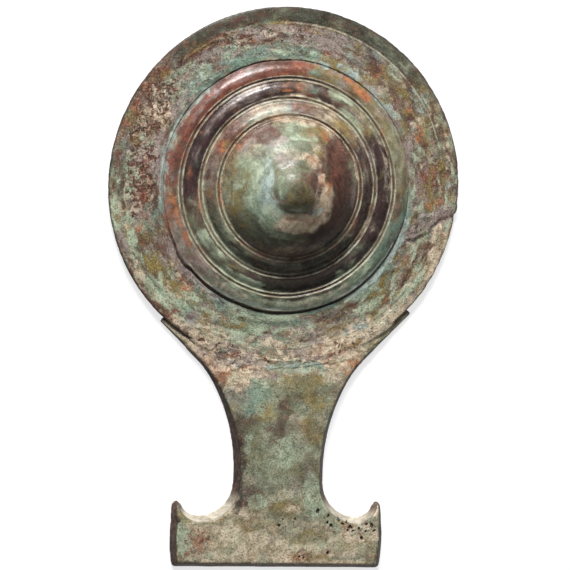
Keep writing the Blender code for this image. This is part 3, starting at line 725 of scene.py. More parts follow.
# Spots and streaks: middle, half length and half width in mm, slant in degrees, and cover
SPOTS = {
    "mint": (
        (51, -140, 7, 4, 0, 1.5), (-13, 42, 5, 3, -36, 2.2), (-20, -87, 2.6, 6, 0, 1.0),
        (2, 50, 6, 2.2, 0, 1.0), (32, -136, 7, 3, -20, 0.9), (-13, -121, 6, 4, 0, 0.8),
        (-70, -4, 17, 3.4, -43, 2.4), (79, 9, 10, 2.6, 66, 1.5), (66, 2, 9, 1.8, 64, 0.9),
        (-14, 39.5, 6, 3.4, -36, 1.7), (-8, 34, 8, 2, -10, 0.6), (-54, -143, 5, 9, 0, 0.8),
        (-20, -88, 4, 8, 0, 0.5), (-90, 62, 5, 22, 0, 0.7), (-84, 40, 5, 8, 0, 0.6),
        (-80, 84, 5, 6, 0, 0.5), (-9, 62, 2.6, 7, 0, 0.9), (-16, 46, 7, 4, -40, 1.2),
        (-22, 50, 4, 4, 0, 0.9), (10, -44, 20, 2.2, -2, 1.2), (24, -6, 10, 4, 0, 0.6),
        (-24, -12, 12, 4, -14, 0.7), (-8, -66, 7, 14, 10, 0.6), (22, -118, 4, 14, 4, 0.8),
        (-4, -14, 34, 4, 0, 0.8), (52, -8, 12, 3, 40, 0.7), (-50, -6, 12, 3, -32, 0.7),
        (-26, 70, 8, 9, -4, 0.9), (4, 92, 12, 5, -6, 0.8), (-6, -100, 12, 10, 0, 0.5),
        (12, -92, 8, 12, 0, 0.4), (50, -143, 12, 8, 0, 0.6), (-12, -58, 10, 8, 20, 0.5),
        (2, -52, 6, 10, 0, 0.4), (-2, 90, 20, 7, 0, 0.35), (0, -7, 30, 4, 0, 0.8),
        (-26, -2, 12, 4, -28, 0.6), (78, 12, 18, 2.6, 58, 0.75), (64, -8, 14, 2.6, 44, 0.7),
        (8, -20, 26, 5, 0, 0.6), (84, 92, 4, 9, 10, 0.5), (72, 62, 4, 16, 0, 0.4),
        (0, -24, 60, 12, 0, 0.35), (0, -100, 14, 26, 0, 0.3), (10, -140, 50, 14, 0, 0.32),
        (-78, 10, 22, 9, -52, 0.4), (-14, 80, 16, 5, 20, 0.3), (-28, 62, 9, 18, -6, 0.75),
        (-60, 122, 10, 6, 30, 0.85), (-52, 128, 8, 5, 30, 0.5), (62, 126, 7, 4, -30, 0.75),
        (97, 85, 4, 6, 0, 0.6), (-12, -30, 9, 5, 20, 0.6), (92, 24, 10, 3.5, 70, 0.5),
        (86, 63, 6, 7, 0, 0.5), (5, -90, 16, 9, 0, 0.55), (-2, -103, 14, 9, 0, 0.5),
        (20, -116, 5, 14, 5, 0.75), (30, -128, 10, 4, -30, 0.6), (38, -145, 16, 6, 5, 0.55),
        (-56, -137, 5, 8, 0, 0.55), (57, -143, 3, 9, 0, 0.6), (-30, -150, 14, 4, 0, 0.35),
        (8, -118, 10, 6, 0, 0.45), (-30, -27, 9, 3, -20, 0.6), (-44, -18, 8, 4, 0, 0.4),
        (-13, 47, 7, 5, -40, 0.75),
    ),
    "teal": (
        (10, -42.4, 18, 1.2, -3, 1.4), (-12, -62, 7, 9, 0, 0.8), (-4, -72, 4, 6, 0, 0.5),
        (-58, 112, 9, 3.4, 48, 0.8), (16, 125, 6, 3, 0, 0.6), (0, 138, 24, 4, 0, 0.45),
        (64, 30, 5, 12, 24, 0.5), (40, 10, 14, 5, 40, 0.4), (-50, 116, 7, 4, 45, 0.8),
        (-56, 109, 7, 3, 55, 0.8), (66, 34, 4, 6, -10, 0.8), (42, -15, 6, 3, 10, 0.8),
        (-18, -66, 6, 5, 0, 0.6), (14, -43, 12, 4, 0, 0.6), (-2, -13, 22, 3, 0, 0.7),
        (20, -57, 8, 5, 0, 0.3), (-75, 47, 4, 8, 0, 0.65), (-54, -9, 5, 3, -30, 0.5),
        (97, 84, 3, 4, 0, 0.4), (-20, 50, 6, 8, 0, 0.45), (62, 12, 10, 5, 45, 0.6),
        (50, 2, 9, 5, 35, 0.55), (8, 136, 20, 3, -8, 0.6),
    ),
    "ice": (
        (77, 110, 8, 1.8, -60, 1.3), (-16, 66, 2.4, 12, 2, 1.5), (-17, 54, 5, 2.4, -30, 1.1),
        (13, 48, 4, 2.4, 36, 0.8), (8, -41.8, 17, 0.9, -3, 1.6), (-20, -64, 8, 10, 0, 0.3),
        (-72, 80, 2.2, 20, 8, 0.6), (-18, 63, 2.6, 13, -2, 0.75), (56, 108, 10, 2.4, -50, 0.7),
        (-16.5, 62, 3.2, 17, -4, 0.85), (-10, 50, 5, 3, -50, 0.6), (54, 110, 9, 2.2, -52, 0.75),
        (75, 110, 9, 2.4, -62, 0.6), (40, -22, 12, 2.6, 28, 0.75), (-47, 4, 10, 4, -42, 0.45),
        (-38, -5, 9, 4, -30, 0.5), (34, 126, 8, 2.6, -28, 0.5), (64, 20, 9, 4, 40, 0.45),
        (18, 128, 5, 3, 0, 0.5), (-26, -41, 8, 3, 0, 0.5), (-11, -42, 7, 3, -10, 0.6),
    ),
    "grey_green": (
        (-5, 95, 8, 3, -8, 1.3), (80, 109, 5, 3, -58, 1.2), (86, 96, 4, 5, 20, 1.3),
        (-13, -100, 9, 8, 0, 0.9), (16, -142, 12, 5, 0, 0.8), (-14, 38, 7, 4, -30, 1.3),
        (0, 50, 9, 3, 0, 0.9), (34, 68, 2.6, 10, 0, 1.2), (-6, 31, 16, 5, 0, 0.9), (-9, 61, 4, 7, 0, 0.9),
        (4, -134, 26, 9, 0, 0.5), (22, -80, 6, 18, 0, 0.4), (-26, 38, 14, 8, -40, 0.9),
        (-8, 82, 24, 13, 15, 0.75), (0, 72, 12, 6, 0, 0.5), (-26, 60, 10, 20, 0, 0.4),
        (88, 98, 5, 8, 10, 0.8), (-35, 70, 6, 14, 0, 0.35), (12, -62, 20, 12, 0, 0.5),
        (-5, -95, 24, 26, 0, 0.45), (-50, 146, 9, 4, 28, 0.7), (-30, 55, 8, 14, 20, 0.45),
        (2, 60, 9, 6, 0, 0.6), (-12, 138, 12, 3, 5, 0.5),
    ),
    "lilac": (
        (55, 116, 5, 3, -45, 1.0), (-75, 80, 3, 18, -8, 1.8), (-66, 22, 6, 7, -50, 1.6),
        (30, 145, 10, 3, -20, 1.3), (88, 42, 12, 4, 18, 2.0), (-35, -41, 6, 4, 0, 1.2),
        (-16, 91, 9, 4, 24, 1.3), (-10, 87, 8, 3, 20, 0.9), (-24, 82, 5, 6, 30, 0.6),
        (12, 60, 2, 10, 0, 0.5), (36, 58, 2.4, 9, 0, 1.1), (-30, -37, 14, 5, -8, 0.9),
        (8, -33, 12, 3, 0, 0.8), (-8, -48, 10, 2.6, 0, 0.7), (30, -22, 20, 4, 14, 0.7),
        (-28, -24, 12, 4, -14, 0.6), (50, 140, 14, 4, -32, 0.7), (74, 100, 4, 12, 20, 0.6),
        (-6, 76, 7, 4, 0, 0.6), (-36, -32, 9, 4, -10, 0.6), (-72, 88, 4, 20, -14, 0.6),
        (78, 66, 5, 16, 0, 0.5), (-20, -26, 20, 5, 0, 0.35), (-44, -36, 10, 6, -20, 0.5),
        (11, 66, 4, 12, -10, 0.5), (8, 48, 8, 4, 20, 0.5), (38, 138, 22, 6, -22, 0.75),
        (-60, 118, 10, 5, 42, 0.35), (-70, 45, 6, 14, 10, 0.5), (88, 44, 14, 4.6, 14, 1.7),
        (78, 33, 7, 5, 30, 1.5), (-45, 133, 11, 5, 25, 0.8), (-6, -22, 10, 1.9, 45, 0.95),
        (14, -28, 12, 6, 5, 0.6), (22, -35, 14, 5, 5, 0.55), (-12, -41, 9, 3.4, 0, 0.75),
        (8, -44, 11, 2.6, 0, 0.6), (-24, -60, 7, 9, -20, 0.45), (-22, -113, 9, 10, 0, 0.4),
        (74, 80, 3.6, 14, 0, 0.6), (84, 86, 6, 4, 0, 0.5), (-20, 104, 9, 2.8, 32, 0.5),
        (10, 118, 4, 3, 0, 0.4), (13, -110, 9, 7, 30, 0.4), (14, 76, 4, 3, 0, 0.35),
        (-85, 58, 5, 6, 0, 0.4),
    ),
    "slate": (
        (-61, 104, 6, 4, 50, 1.8), (-23, -100, 3.2, 24, 2, 1.1), (-24, -118, 3, 10, 10, 0.8),
        (-20, -84, 4, 8, 0, 0.4), (-58, -120, 3, 6, 0, 0.7), (60, -123, 3, 6, 0, 0.7),
        (-20, 146, 20, 1.6, 10, 0.6), (16, -108, 9, 9, 0, 0.4), (24, -72, 5, 12, 20, 0.5),
        (-4, -112, 18, 3, 10, 0.35), (12, -60, 12, 5, 0, 0.3), (-14, -88, 6, 16, 0, 0.25),
        # slate at (8, 28), (0, 26) and (25, 34) is painted shade, darkening the dome's lower side
        (1, 57, 8, 8, 0, 0.5), (8, 28, 30, 9, 6, 0.3), (0, 26, 24, 5, 0, 0.4), (25, 34, 12, 7, 35, 0.5),
        (22, -98, 3, 18, 0, 0.35), (17, -103, 8, 4, 0, 0.5), (-20, -76, 7, 5, 0, 0.4),
    ),
    "umber": (
        (15, 60, 2.4, 5, 0, 1.2), (19, 49, 2.6, 5, -10, 1.3), (13, 71, 2.6, 3.4, -40, 1.3),
        (51, 128, 4.4, 4.6, 0, 2.0), (72, 8, 13, 1.8, 63, 1.4), (60, -2, 6, 2, 60, 0.8),
        (-76, 16, 6, 3, -50, 0.8), (81, 84, 2.6, 6, 0, 1.3), (-67, 45, 3, 6, 0, 0.7),
        (-14, 90, 7, 4, 26, 3.2), (14.5, 75, 3, 4, -30, 1.0), (15, 82, 3, 3, 0, 0.5),
        (-12, -152, 7, 1.6, 0, 0.4), (30, -150, 10, 1.4, 0, 0.4), (17, -96, 5, 6, 0, 0.6),
        (47, 127, 6, 4, -30, 1.4), (-37, -60, 3, 10, -20, 1.2), (-26, -98, 2.2, 26, 0, 1.4),
        (-21, -76, 6, 3, 10, 0.8), (1, -72, 2.6, 10, -30, 0.9), (15, -27, 8, 3, 0, 1.5),
        (-20, 93, 10, 3, 34, 1.5), (-13, 92, 8, 3, 20, 1.3), (20.5, 70, 3.6, 7, 10, 1.6),
        (-34, 64, 3, 9, 0, 0.7), (8, 24, 10, 4, 0, 0.6), (-22, 143, 5, 3, 20, 0.9),
        (-2, 146, 4, 2, 0, 0.8), (-50, 136, 8, 2, 34, 0.7), (0, -78, 3, 12, -28, 0.9),
        (-19, -76, 8, 4, 0, 0.7), (22, -98, 4, 9, 0, 0.4), (36, -15, 11, 2.6, 12, 0.8),
        (-59, -118, 3, 7, 0, 0.9), (60, -121, 3, 7, 0, 0.8), (-61.5, -140, 2.2, 20, 0, 1.0),
        (-8, 140, 30, 2.0, 0, 0.5), (30, 132, 12, 2.4, -30, 0.5), (6, 30, 9, 3, 0, 0.9),
        (-30, 88, 7, 3, 50, 0.7), (-36, 76, 2.5, 8, -15, 0.5), (16, 90, 6, 3, -35, 0.5),
        (-86, 62, 5, 20, 0, 0.7), (-24, 147, 12, 3, 14, 0.5), (66, 118, 10, 3, -50, 0.45),
        (90, 62, 3, 12, 0, 0.5), (-74, 30, 4, 14, 20, 0.5), (-23.5, -95, 3.0, 26, 0, 0.8),
        (-17, -70, 7, 6, 0, 0.35), (61, -150, 2, 8, 0, 0.8), (-46, -30, 6, 4, -40, 0.5),
        (-38, -28, 9, 3, -20, 0.4), (5, 22, 14, 4, 0, 0.4), (30, 105, 9, 6, -40, 0.45),
        (12, 104, 12, 3, -6, 0.6), (27, 79, 8, 11, -8, 2.8), (29, 62, 6.4, 14, 0, 2.8),
        (28, 48, 6.5, 10, 18, 2.6), (21, 37, 9, 4.5, 32, 2.0), (10, 66, 2.4, 7, 0, 1.5),
        (14, 44, 5, 9, 30, 0.4), (40, 127, 9, 3, -35, 0.35), (86, 73, 5, 4, 0, 0.6),
        (82, 26, 16, 2.4, 58, 0.6), (68, 2, 14, 2.2, 50, 0.5), (-68, 30, 6, 20, 12, 0.45),
        (-62, 130, 9, 3, 42, 0.6), (83, 20, 14, 3.6, 62, 0.8), (-78, 25, 10, 6, -60, 0.35),
        (-62, 8, 9, 4, -50, 0.35), (-44, 143, 11, 2.4, 22, 0.7), (-60, 130, 7, 2.6, 30, 0.75),
        (96, 68, 2.6, 9, 0, 0.75), (47, 131, 6, 4, 0, 0.6), (-1, -70, 12, 3.6, 62, 0.8),
        (18, -101, 8, 4.5, 0, 0.6), (14, -82, 14, 8, 0, 0.35), (-24, -62, 5, 10, 0, 0.45),
        (-23.5, -103, 2.6, 17, 0, 0.95), (-26, -78, 2.6, 10, 14, 0.7), (-18, -118, 9, 7, 0, 0.5),
        (28, -140, 30, 4, 0, 0.3), (6, -134, 20, 7, 0, 0.35), (28, -13, 10, 3.4, 14, 0.85),
        (5, 63, 5, 8, 0, 0.55), (8, 38, 7, 5, 0, 0.45), (36, -32, 9, 5, 10, 0.35),
        (0, 117, 12, 2, 0, 0.5), (-92, 88, 3, 8, -10, 0.5), (62, 112, 6, 7, 0, 0.3),
        (-34, -34, 10, 6, 0, 0.4), (45, -150, 8, 5, 0, 0.2),
    ),
    "oxblood": (
        (-66, -14, 4.6, 3.4, -42, 2.0), (-84, 58, 5, 16, 0, 0.7), (-60, 122, 8, 2, 44, 0.5),
        (-40, 144, 10, 2, 24, 0.6), (0, 149, 12, 2, 0, 0.4), (84, 72, 3, 6, 0, 0.5),
        (-70, 100, 3, 8, -20, 0.4), (-70, 36, 3, 8, 12, 0.5), (2, 128, 16, 3, 0, 0.6),
        (-64, -12, 6, 5, -40, 0.95), (27, 74, 4.5, 13, -4, 1.7), (-83, 62, 6, 18, 0, 0.7),
        (-26, 140, 6, 2.6, -20, 0.75), (-78, 96, 4, 4, 0, 0.5), (64, 107, 2.6, 5, 15, 0.85),
        (-95, 78, 3, 8, 0, 0.5), (-66, 113, 2.4, 2, 0, 0.9), (44, 58, 4, 5, 0, 0.3),
        (-46, -146, 4, 8, 0, 0.45), (-54, -141, 4, 6, 0, 0.3), (62, 26, 4, 6, -40, 0.35),
        (-20, -28, 5, 2.4, 20, 0.5), (8, 68, 4, 7, 0, 0.4), (10, 44, 8, 4, 20, 0.3),
        (64, 60, 2.6, 12, 0, 0.4), (-2, 140, 10, 2, 0, 0.35), (-40, -50, 5, 7, -30, 0.35),
    ),
    "orange": (
        (-57, 4, 6, 2.6, -50, 0.8), (52, 123.5, 4, 1.5, 0, 1.5), (75, 94, 4, 3, 0, 1.4),
        (82, 80, 2, 5, 0, 0.8), (-33, -44, 5, 3, 0, 0.8), (-20, 141, 4, 2, 0, 0.8),
        (-38, 142, 5, 2.4, 20, 0.7), (14.5, 66, 2, 7, 6, 0.9), (0, 43, 6, 1.5, 0, 0.8),
        (9, 78, 6, 1.6, -38, 0.8), (18, 90, 5, 2.4, -40, 1.0), (-22, 92, 7, 2, 44, 0.8),
        (11, 91, 4, 2, 0, 0.6), (-49, -145, 1.6, 2.4, 0, 0.9), (-45, -149, 1.6, 2.6, 0, 0.9),
        (-52, -150, 2, 1.4, 0, 0.7), (48, -40, 3, 5, 30, 0.6), (-28, 86, 8, 1.6, 48, 0.7),
        (6, 43, 8, 1.4, 8, 0.7), (19, 60, 1.6, 12, -8, 0.7), (36, -32, 12, 3, 20, 0.8),
        (-34, -46, 6, 4, -20, 0.8), (-28, -36, 5, 3, 0, 0.9), (-18, -44, 8, 2, 0, 0.6),
        (42, -42, 5, 4, 30, 0.7), (-44, -42, 3, 6, -20, 0.7), (34, -34, 12, 4, 14, 0.5),
        (-44, -37, 4, 5, 0, 0.5), (-38, -48, 4, 5, -20, 0.6), (-20, -43, 7, 2.6, 0, 0.45),
        (40, -44, 4, 5, 20, 0.5), (94, 40, 6, 2.4, 50, 0.7), (38, 117, 12, 2, -42, 0.8),
        (-68, 44, 2.6, 12, 4, 0.8), (26, -32, 12, 4, 16, 0.45), (50, 126, 5.5, 2.6, 10, 0.9),
        (-38, -43, 5, 3, 10, 0.75), (-33, -51, 3, 5, -20, 0.65), (30, -43, 5, 2.4, 0, 0.45),
        (38, -46, 3, 4, 0, 0.5), (82, 88, 5, 4, -30, 0.5), (75, 92, 4, 5, 0, 0.65),
        (88, 52, 10, 2.6, 5, 0.6), (97, 39, 3, 7, 0, 0.75), (-56, 2, 5, 3, -30, 0.6),
        (24, 135, 3, 2.4, 0, 0.75), (-12, 97, 8, 3, 35, 0.5), (-28, 92, 5, 2.6, 50, 0.5),
        (-45, -143, 3.4, 6, 0, 0.5), (-50, -139, 5, 3, 0, 0.4), (43, -136.4, 4, 1.8, 0, 0.6),
        (15, -154, 9, 2, 0, 0.5), (56, -150, 3, 7, 0, 0.3), (8, 106, 9, 3, -5, 0.35),
        (-48, -32, 4, 4, 0, 0.3), (-2, -33, 8, 3, 10, 0.3), (-72, 106, 7, 5, 0, 0.3),
        (70, 15, 4, 6, 0, 0.3), (-86, 36, 4, 4, 0, 0.4), (0, 148, 12, 4, 0, 0.3),
        (-35, 84, 3, 5, -30, 0.3),
    ),
    "aubergine": (
        (33, 56, 3, 20, -6, 0.8), (12, 46, 3, 4, 0, 0.5), (34, -14, 10, 2.4, 12, 0.7),
        (50, 131, 6, 2.4, -10, 0.7), (3, 59, 6, 5, 0, 0.3), (-62, 129, 5, 2, 30, 0.6),
        (-88, 80, 4, 8, 0, 0.3), (27, 47, 7, 8, 30, 0.6), (-24.5, -106, 1.6, 15, 0, 0.7),
        (-83, 48, 6, 8, 0, 0.4),
    ),
    "olive": (
        (24, -21, 6, 3, 0, 1.3), (24, -152, 8, 3, 0, 1.0), (86, 61, 4, 5, 0, 1.2),
        (15, 91, 5, 3, -25, 1.3), (62, 9, 14, 3, 71, 1.5), (-73, 13, 9, 5, -45, 1.8),
        (69, 16, 8, 3, 62, 0.8), (13, 59, 1.6, 6, 0, 0.6), (13, 79, 4, 4, -30, 0.6),
        (19, -143, 9, 5, 0, 0.9), (-13, -99, 8, 6, 0, 0.8), (14, -146, 14, 3, 0, 0.6),
        (-16, -134, 12, 4, 0, 0.6), (1, 50, 7, 3, 0, 1.0), (-8, -70, 9, 6, 0, 0.9),
        (-10, -148, 9, 5, 0, 0.7), (20, -78, 6, 14, 0, 0.6), (10, -104, 10, 6, 0, 0.4),
        (12, 90, 9, 4, -14, 1.1), (-31, 62, 6, 12, 0, 1.0), (2, 57, 8, 9, 0, 0.7),
        (-30, 44, 8, 8, -30, 0.7), (-4, 30, 14, 4, 0, 0.6), (20, -60, 9, 8, 0, 0.9),
        (16, -50, 12, 3, 0, 0.7), (4, -124, 9, 3.4, 0, 0.8), (46, -146, 12, 4, 10, 0.6),
        (70, 112, 12, 10, -40, 0.75), (86, 58, 7, 12, 0, 0.7), (72, 10, 18, 2.6, 56, 0.75),
        (58, -8, 14, 3, 44, 0.6), (-70, 14, 14, 5, -56, 0.7), (-73, 8, 10, 5, -50, 0.75),
        (-30, -17, 11, 5, 0, 0.75), (60, -5, 9, 5, 50, 0.85), (70, 4, 8, 4, 60, 0.6),
        (20, -20, 10, 4, 0, 0.5), (60, 116, 9, 9, 0, 0.6), (-36, 74, 5, 14, 0, 0.4),
        (12, -52, 15, 6, 0, 0.65), (5, -125, 11, 6, 0, 0.6), (-86, 28, 6, 8, -20, 0.35),
        (76, 30, 8, 5, 40, 0.5), (46, -30, 10, 6, 20, 0.4), (-58, -18, 8, 4, -30, 0.5),
    ),
    "cream": (
        (-63, -3, 8, 3, -55, 1.7), (-75, 101, 6, 8, -40, 1.5), (-24, 143, 7, 3, 10, 1.0),
        (8, -127, 7, 3, 0, 0.8), (-62, 18, 4, 4, -50, 0.7), (1, 39.6, 11, 3.6, 0, 3.2),
        # cream at (-29.5, -121), (57, -124), (-26, -117) and (-28, -123) lies on the bays' walls: pale
        # earth brightened as painted light
        (-29.5, -121, 2.4, 5, 20, 1.5), (50, -141, 11, 5, 0, 2.4), (57, -124, 3, 6, 0, 2.4),
        (20, -160, 50, 2.4, 0, 2.0), (-48, -159, 10, 2.4, 0, 1.6), (-11, -38, 8, 3, 0, 2.2),
        (22, -35, 8, 3, 6, 1.6), (-75, 96, 6, 4, -50, 1.5), (10, -159, 50, 2.6, 0, 1.2),
        (-40, -138, 10, 4, 0, 0.8), (-26, -117, 3, 6, 20, 0.9), (-11, -39, 9, 3, 0, 1.2),
        (-24, -54, 5, 4, 0, 1.0), (20, -158, 40, 2.4, 0, 0.8), (-38, -158, 16, 2.4, 0, 0.8),
        (18.5, 54, 4.4, 8, 4, 1.6), (19, 46, 3, 6, -10, 1.2), (15, 66, 2, 6, 10, 0.7),
        (0, 40, 12, 4, 0, 2.4), (13, 43, 6, 4, 20, 1.2), (9, 77, 7, 3, -36, 1.0),
        (-16, -46, 12, 4, 0, 0.9), (32, -44, 9, 6, 10, 0.8), (44, -34, 9, 4, 40, 0.7),
        (10, -26, 34, 5, 3, 0.6), (44, -18, 16, 4, 24, 0.6), (-44, -20, 12, 4, -30, 0.5),
        (-2, 132, 20, 1.6, 0, 0.3), (-22, 84, 8, 5, 35, 0.4), (-4, 80, 10, 4, 0, 0.5),
        (12, 84, 5, 6, 20, 0.4), (15, 50, 2.4, 6, -25, 0.5), (46, -27, 20, 6, 33, 1.0),
        (-28, -42, 18, 6, 0, 0.9), (-46, -32, 9, 4, -38, 0.8), (0, -147, 58, 9, 0, 0.6),
        (-22, -128, 10, 7, 30, 0.4), (-50, -133, 8, 3, 0, 0.4), (48, -25, 22, 7, 32, 0.7),
        (-30, -42, 20, 8, 0, 0.6), (13, 56, 2.4, 9, -14, 0.5), (2, 43, 11, 4, 0, 0.95),
        (2, 26, 9, 3, 0, 0.4), (86, 30, 14, 2, 60, 0.6), (74, 4, 12, 1.8, 52, 0.6),
        (-18, 146, 26, 5, 12, 0.35), (-82, 100, 7, 14, -20, 0.35), (20, -40, 34, 10, 0, 0.5),
        (-40, -40, 24, 10, 0, 0.5), (0, -144, 58, 16, 0, 0.42), (-16, -128, 12, 8, 0, 0.3),
        (-50, -27, 9, 3.6, -25, 0.85), (-62, -21, 9, 2.6, -38, 0.9), (62, -18, 10, 4.4, 38, 0.6),
        (30, -48, 8, 6, 0, 0.5), (-72, 112, 9, 7, 40, 0.45), (-86, 90, 6, 14, 0, 0.2),
        (76, 98, 5, 4, 0, 0.75), (-57, -2, 5, 5, 0, 0.65), (90, 36, 8, 5, 30, 0.5),
        (72, 24, 6, 4, 40, 0.35), (4, 39, 12, 3.4, 0, 0.5), (-28, -123, 4, 8, 20, 0.6),
        (-30, -130, 10, 2.6, 20, 0.4), (-52, -152, 10, 3, 0, 0.3), (86, 73, 7, 12, 0, 0.25),
        (-34, -54, 4, 6, -30, 0.5), (60, 14, 5, 4, 30, 0.25), (-93, 24, 4, 8, 20, 0.4),
    ),
    "pitch": (
        (2, 57, 5, 5, 0, 0.45), (-64, 120, 5, 1.2, 45, 0.6), (-22.4, -106, 1.6, 18, 0, 1.2),
        # pitch at (14, 32) is painted shade at the dome's lower right
        (-60, -140, 1.6, 22, 0, 0.5), (-24.5, -98, 1.4, 24, 0, 0.6), (14, 32, 9, 4, 24, 0.7),
        (-22, 148, 8, 1.2, 12, 0.6),
    ),
    "crust": (
        (-84, 66, 9, 24, -3, 0.95), (-80, 96, 10, 18, -28, 0.85), (-72, 112, 12, 9, 40, 0.85),
        (-56, 131, 12, 5, 32, 0.6), (-30, 143, 16, 5, 14, 0.7), (0, 146, 13, 6, 0, 0.7),
        (-36, -40, 13, 12, 0, 0.55), (-12, -42, 9, 5, 0, 0.4), (36, -36, 16, 9, 26, 0.42),
        (54, -22, 13, 5, 34, 0.35), (-50, -27, 8, 4, -25, 0.5), (-47, -144, 9, 9, 0, 0.6),
        (80, 38, 9, 8, 20, 0.5), (48, -137, 14, 5, 0, 0.5), (-26, -122, 6, 8, 0, 0.5),
        (84, 72, 9, 10, 0, 0.35), (-22, -105, 5, 20, 0, 0.4), (86, 10, 5, 9, -30, 0.4),
        (12, 56, 12, 14, 0, 0.3), (-18, -118, 9, 8, 0, 0.4), (-66, 20, 8, 22, 30, 0.2),
        (14, -154, 9, 3, 0, 0.5),
    ),
}


def lie_of(place, spot):
    """How far each point is from a spot's middle, 1 at its edge."""
    x, y, long, wide, slant, _ = spot
    s, c = math.sin(math.radians(slant)), math.cos(math.radians(slant))
    dx, dy = place[0] - x, place[1] - y
    return np.hypot((dx * c + dy * s) / long, (dy * c - dx * s) / wide)


def cover_of(colour, place, ring, on_disc):
    """How much of each point's neighbourhood a colour covers."""
    cover = np.zeros(len(place[0]))
    for turn, half, radius, width, most in BANDS.get(colour, ()):
        past_end = np.maximum(arc_gap(ring[1], turn) - half + 8, 0) / 8
        past_side = np.maximum(np.abs(ring[0] - radius) - width + 1, 0)
        inside = 1 - smooth_ramp(np.hypot(past_end, past_side), 0.3, 1.3)
        cover = np.maximum(cover, most * on_disc * inside)
    for spot in SPOTS.get(colour, ()):
        cover = np.maximum(cover, spot[-1] * (1 - smooth_ramp(lie_of(place, spot), 0.65, 1.3)))
    return cover


def paint(piece):
    """Lays the patina's covers over a piece, point by point, for its finish to read."""
    points, out = points_of(piece), normals_of(piece)
    radius, turn = polar(points)
    on_disc = radius < DISC_RADIUS + 0.2 * MM
    facing = smooth_ramp(out[:, 2], -0.3, 0.1)
    paint_colours(piece, points, radius, turn, on_disc, facing)
    paint_lines(piece, points, radius, turn, on_disc * facing)
    store(piece, "side", 1 - smooth_ramp(np.abs(out[:, 2]), 0.45, 0.85))
    store(piece, "edge", edge_of(points, out, radius, turn, on_disc))
    # the bays' walls: pale earth, made brighter still as painted light
    store(piece, "bay_earth_and_light", bay_earth_and_light_of(points, out))
    store(piece, "hole", holes_of(points) * facing * ~on_disc)


def paint_colours(piece, points, radius, turn, on_disc, facing):
    """Each colour's cover, its places a little frayed, and how calm and how crusted the skin is."""
    drift = grain(points, 13 * MM, 61), grain(points, 13 * MM, 62)
    fray = grain(points, 3.5 * MM, 63), grain(points, 3.5 * MM, 64)
    loose = 0.4 + 0.6 * smooth_ramp(radius, 70 * MM, 78 * MM)  # the mouldings keep their colours in line
    place = [points[:, axis] / MM + loose * (2.6 * drift[axis] + 1.0 * fray[axis]) for axis in (0, 1)]
    ring = radius / MM + 0.6 * fray[0], turn + 3.0 * drift[1]
    rim = 0.55 * smooth_ramp(radius, 93 * MM, 95 * MM) * smooth_ramp(60 - arc_gap(turn, 82), 0, 15)
    calm = np.maximum(1 - smooth_ramp(radius, 70 * MM, 76 * MM), rim)
    store(piece, "calm", np.where(on_disc, calm, 0.5) * facing)
    for number, (colour, pigment) in enumerate(PIGMENTS.items()):
        cover = cover_of(colour, place, ring, on_disc) * np.where(on_disc, 1.0, 1.5)
        stray = 0.5 * grain(points, 22 * MM, 90 + 3 * number)
        stray += 0.18 * grain(points, 7 * MM, 130 + 3 * number, 2)
        spread = np.where(on_disc, pigment.plate + stray, pigment.handle + 0.7 * stray)
        # seeded by the length of its name, so that on the backs some colours gather in the same places
        back = pigment.back + 0.25 * grain(points, 20 * MM, 70 + len(colour))
        store(piece, colour, np.where(facing > 0.5, np.maximum(cover, spread * loose), back))
    store(piece, "crust", cover_of("crust", place, ring, on_disc) * facing)


def paint_lines(piece, points, radius, turn, front):
    """Earth in the grooves, rubbed lips, the dark crack, and painted shade in the step's crevice and under
    the flake.
    """
    carved = engraving(radius) / LIP_HEIGHT * front * (radius < 96 * MM)
    carved *= 1.25 - wear_of(points, radius, turn)
    store(piece, "groove", smooth_ramp(-carved, 0.1, 1.0))
    store(piece, "lip", smooth_ramp(carved, 0.25, 0.8))
    # painted shade: the step's crevice is drawn near black only on the side towards the handle, where its
    # shadow falls
    below = smooth_ramp(78 - arc_gap(turn, -100), 0, 40)
    store(piece, "crevice", front * bell(radius - STEP_RADIUS - 0.35 * MM, 0.4 * MM) * below)
    # the crack's own dark line, and painted shadow under the raised flake along its lower edge
    flake, raw = flake_of(points)
    near = front * smooth_ramp(radius, 78 * MM, 80 * MM)
    store(piece, "crack", near * (bell(flake + 0.7, 0.6) * raw + 0.6 * bell(flake - 3.2, 0.5)))


def edge_of(points, out, radius, turn, on_disc):
    """The dark line round both pieces' edges, fainter along the foot and absent under the joint's crust."""
    free = smooth_ramp(arc_gap(turn, (JOINT_FROM + JOINT_TO) / 2), 34, 37)
    turned = bell(out[:, 2] - 0.62, 0.25) * (radius > 90 * MM) * np.maximum(free, radius > 112 * MM)
    rim = smooth_ramp(radius, 100.6 * MM, 101.6 * MM) * on_disc * free
    return (1 - 0.6 * smooth_ramp(-points[:, 1], 156 * MM, 158 * MM)) * np.maximum(turned, 0.9 * rim)


def bay_earth_and_light_of(points, out):
    """The walls of the foot's two bays, coated in pale earth and brightened as painted light."""
    x, y = points[:, 0], points[:, 1]
    down = -y - 6 * MM * smooth_ramp(np.abs(x), 42 * MM, 50 * MM)
    down += 4 * MM * smooth_ramp(-x, 20 * MM, 24 * MM)
    in_bay = smooth_ramp(down, 118 * MM, 128 * MM) * smooth_ramp(y, -146 * MM, -143 * MM)
    to_middle = np.stack([np.sign(x) * 43 * MM - x, -124 * MM - y], 1)
    faces_bay = (to_middle * out[:, :2]).sum(1) / np.hypot(*to_middle.T)
    return in_bay * smooth_ramp(faces_bay, 0.2, 0.5) * (1 - smooth_ramp(out[:, 2], 0.35, 0.8))


def store(piece, name, values):
    layer = piece.data.attributes.new(name, "FLOAT", "POINT")
    layer.data.foreach_set("value", np.ascontiguousarray(values, np.float32))


# ---------------------------------------------------------------- finish

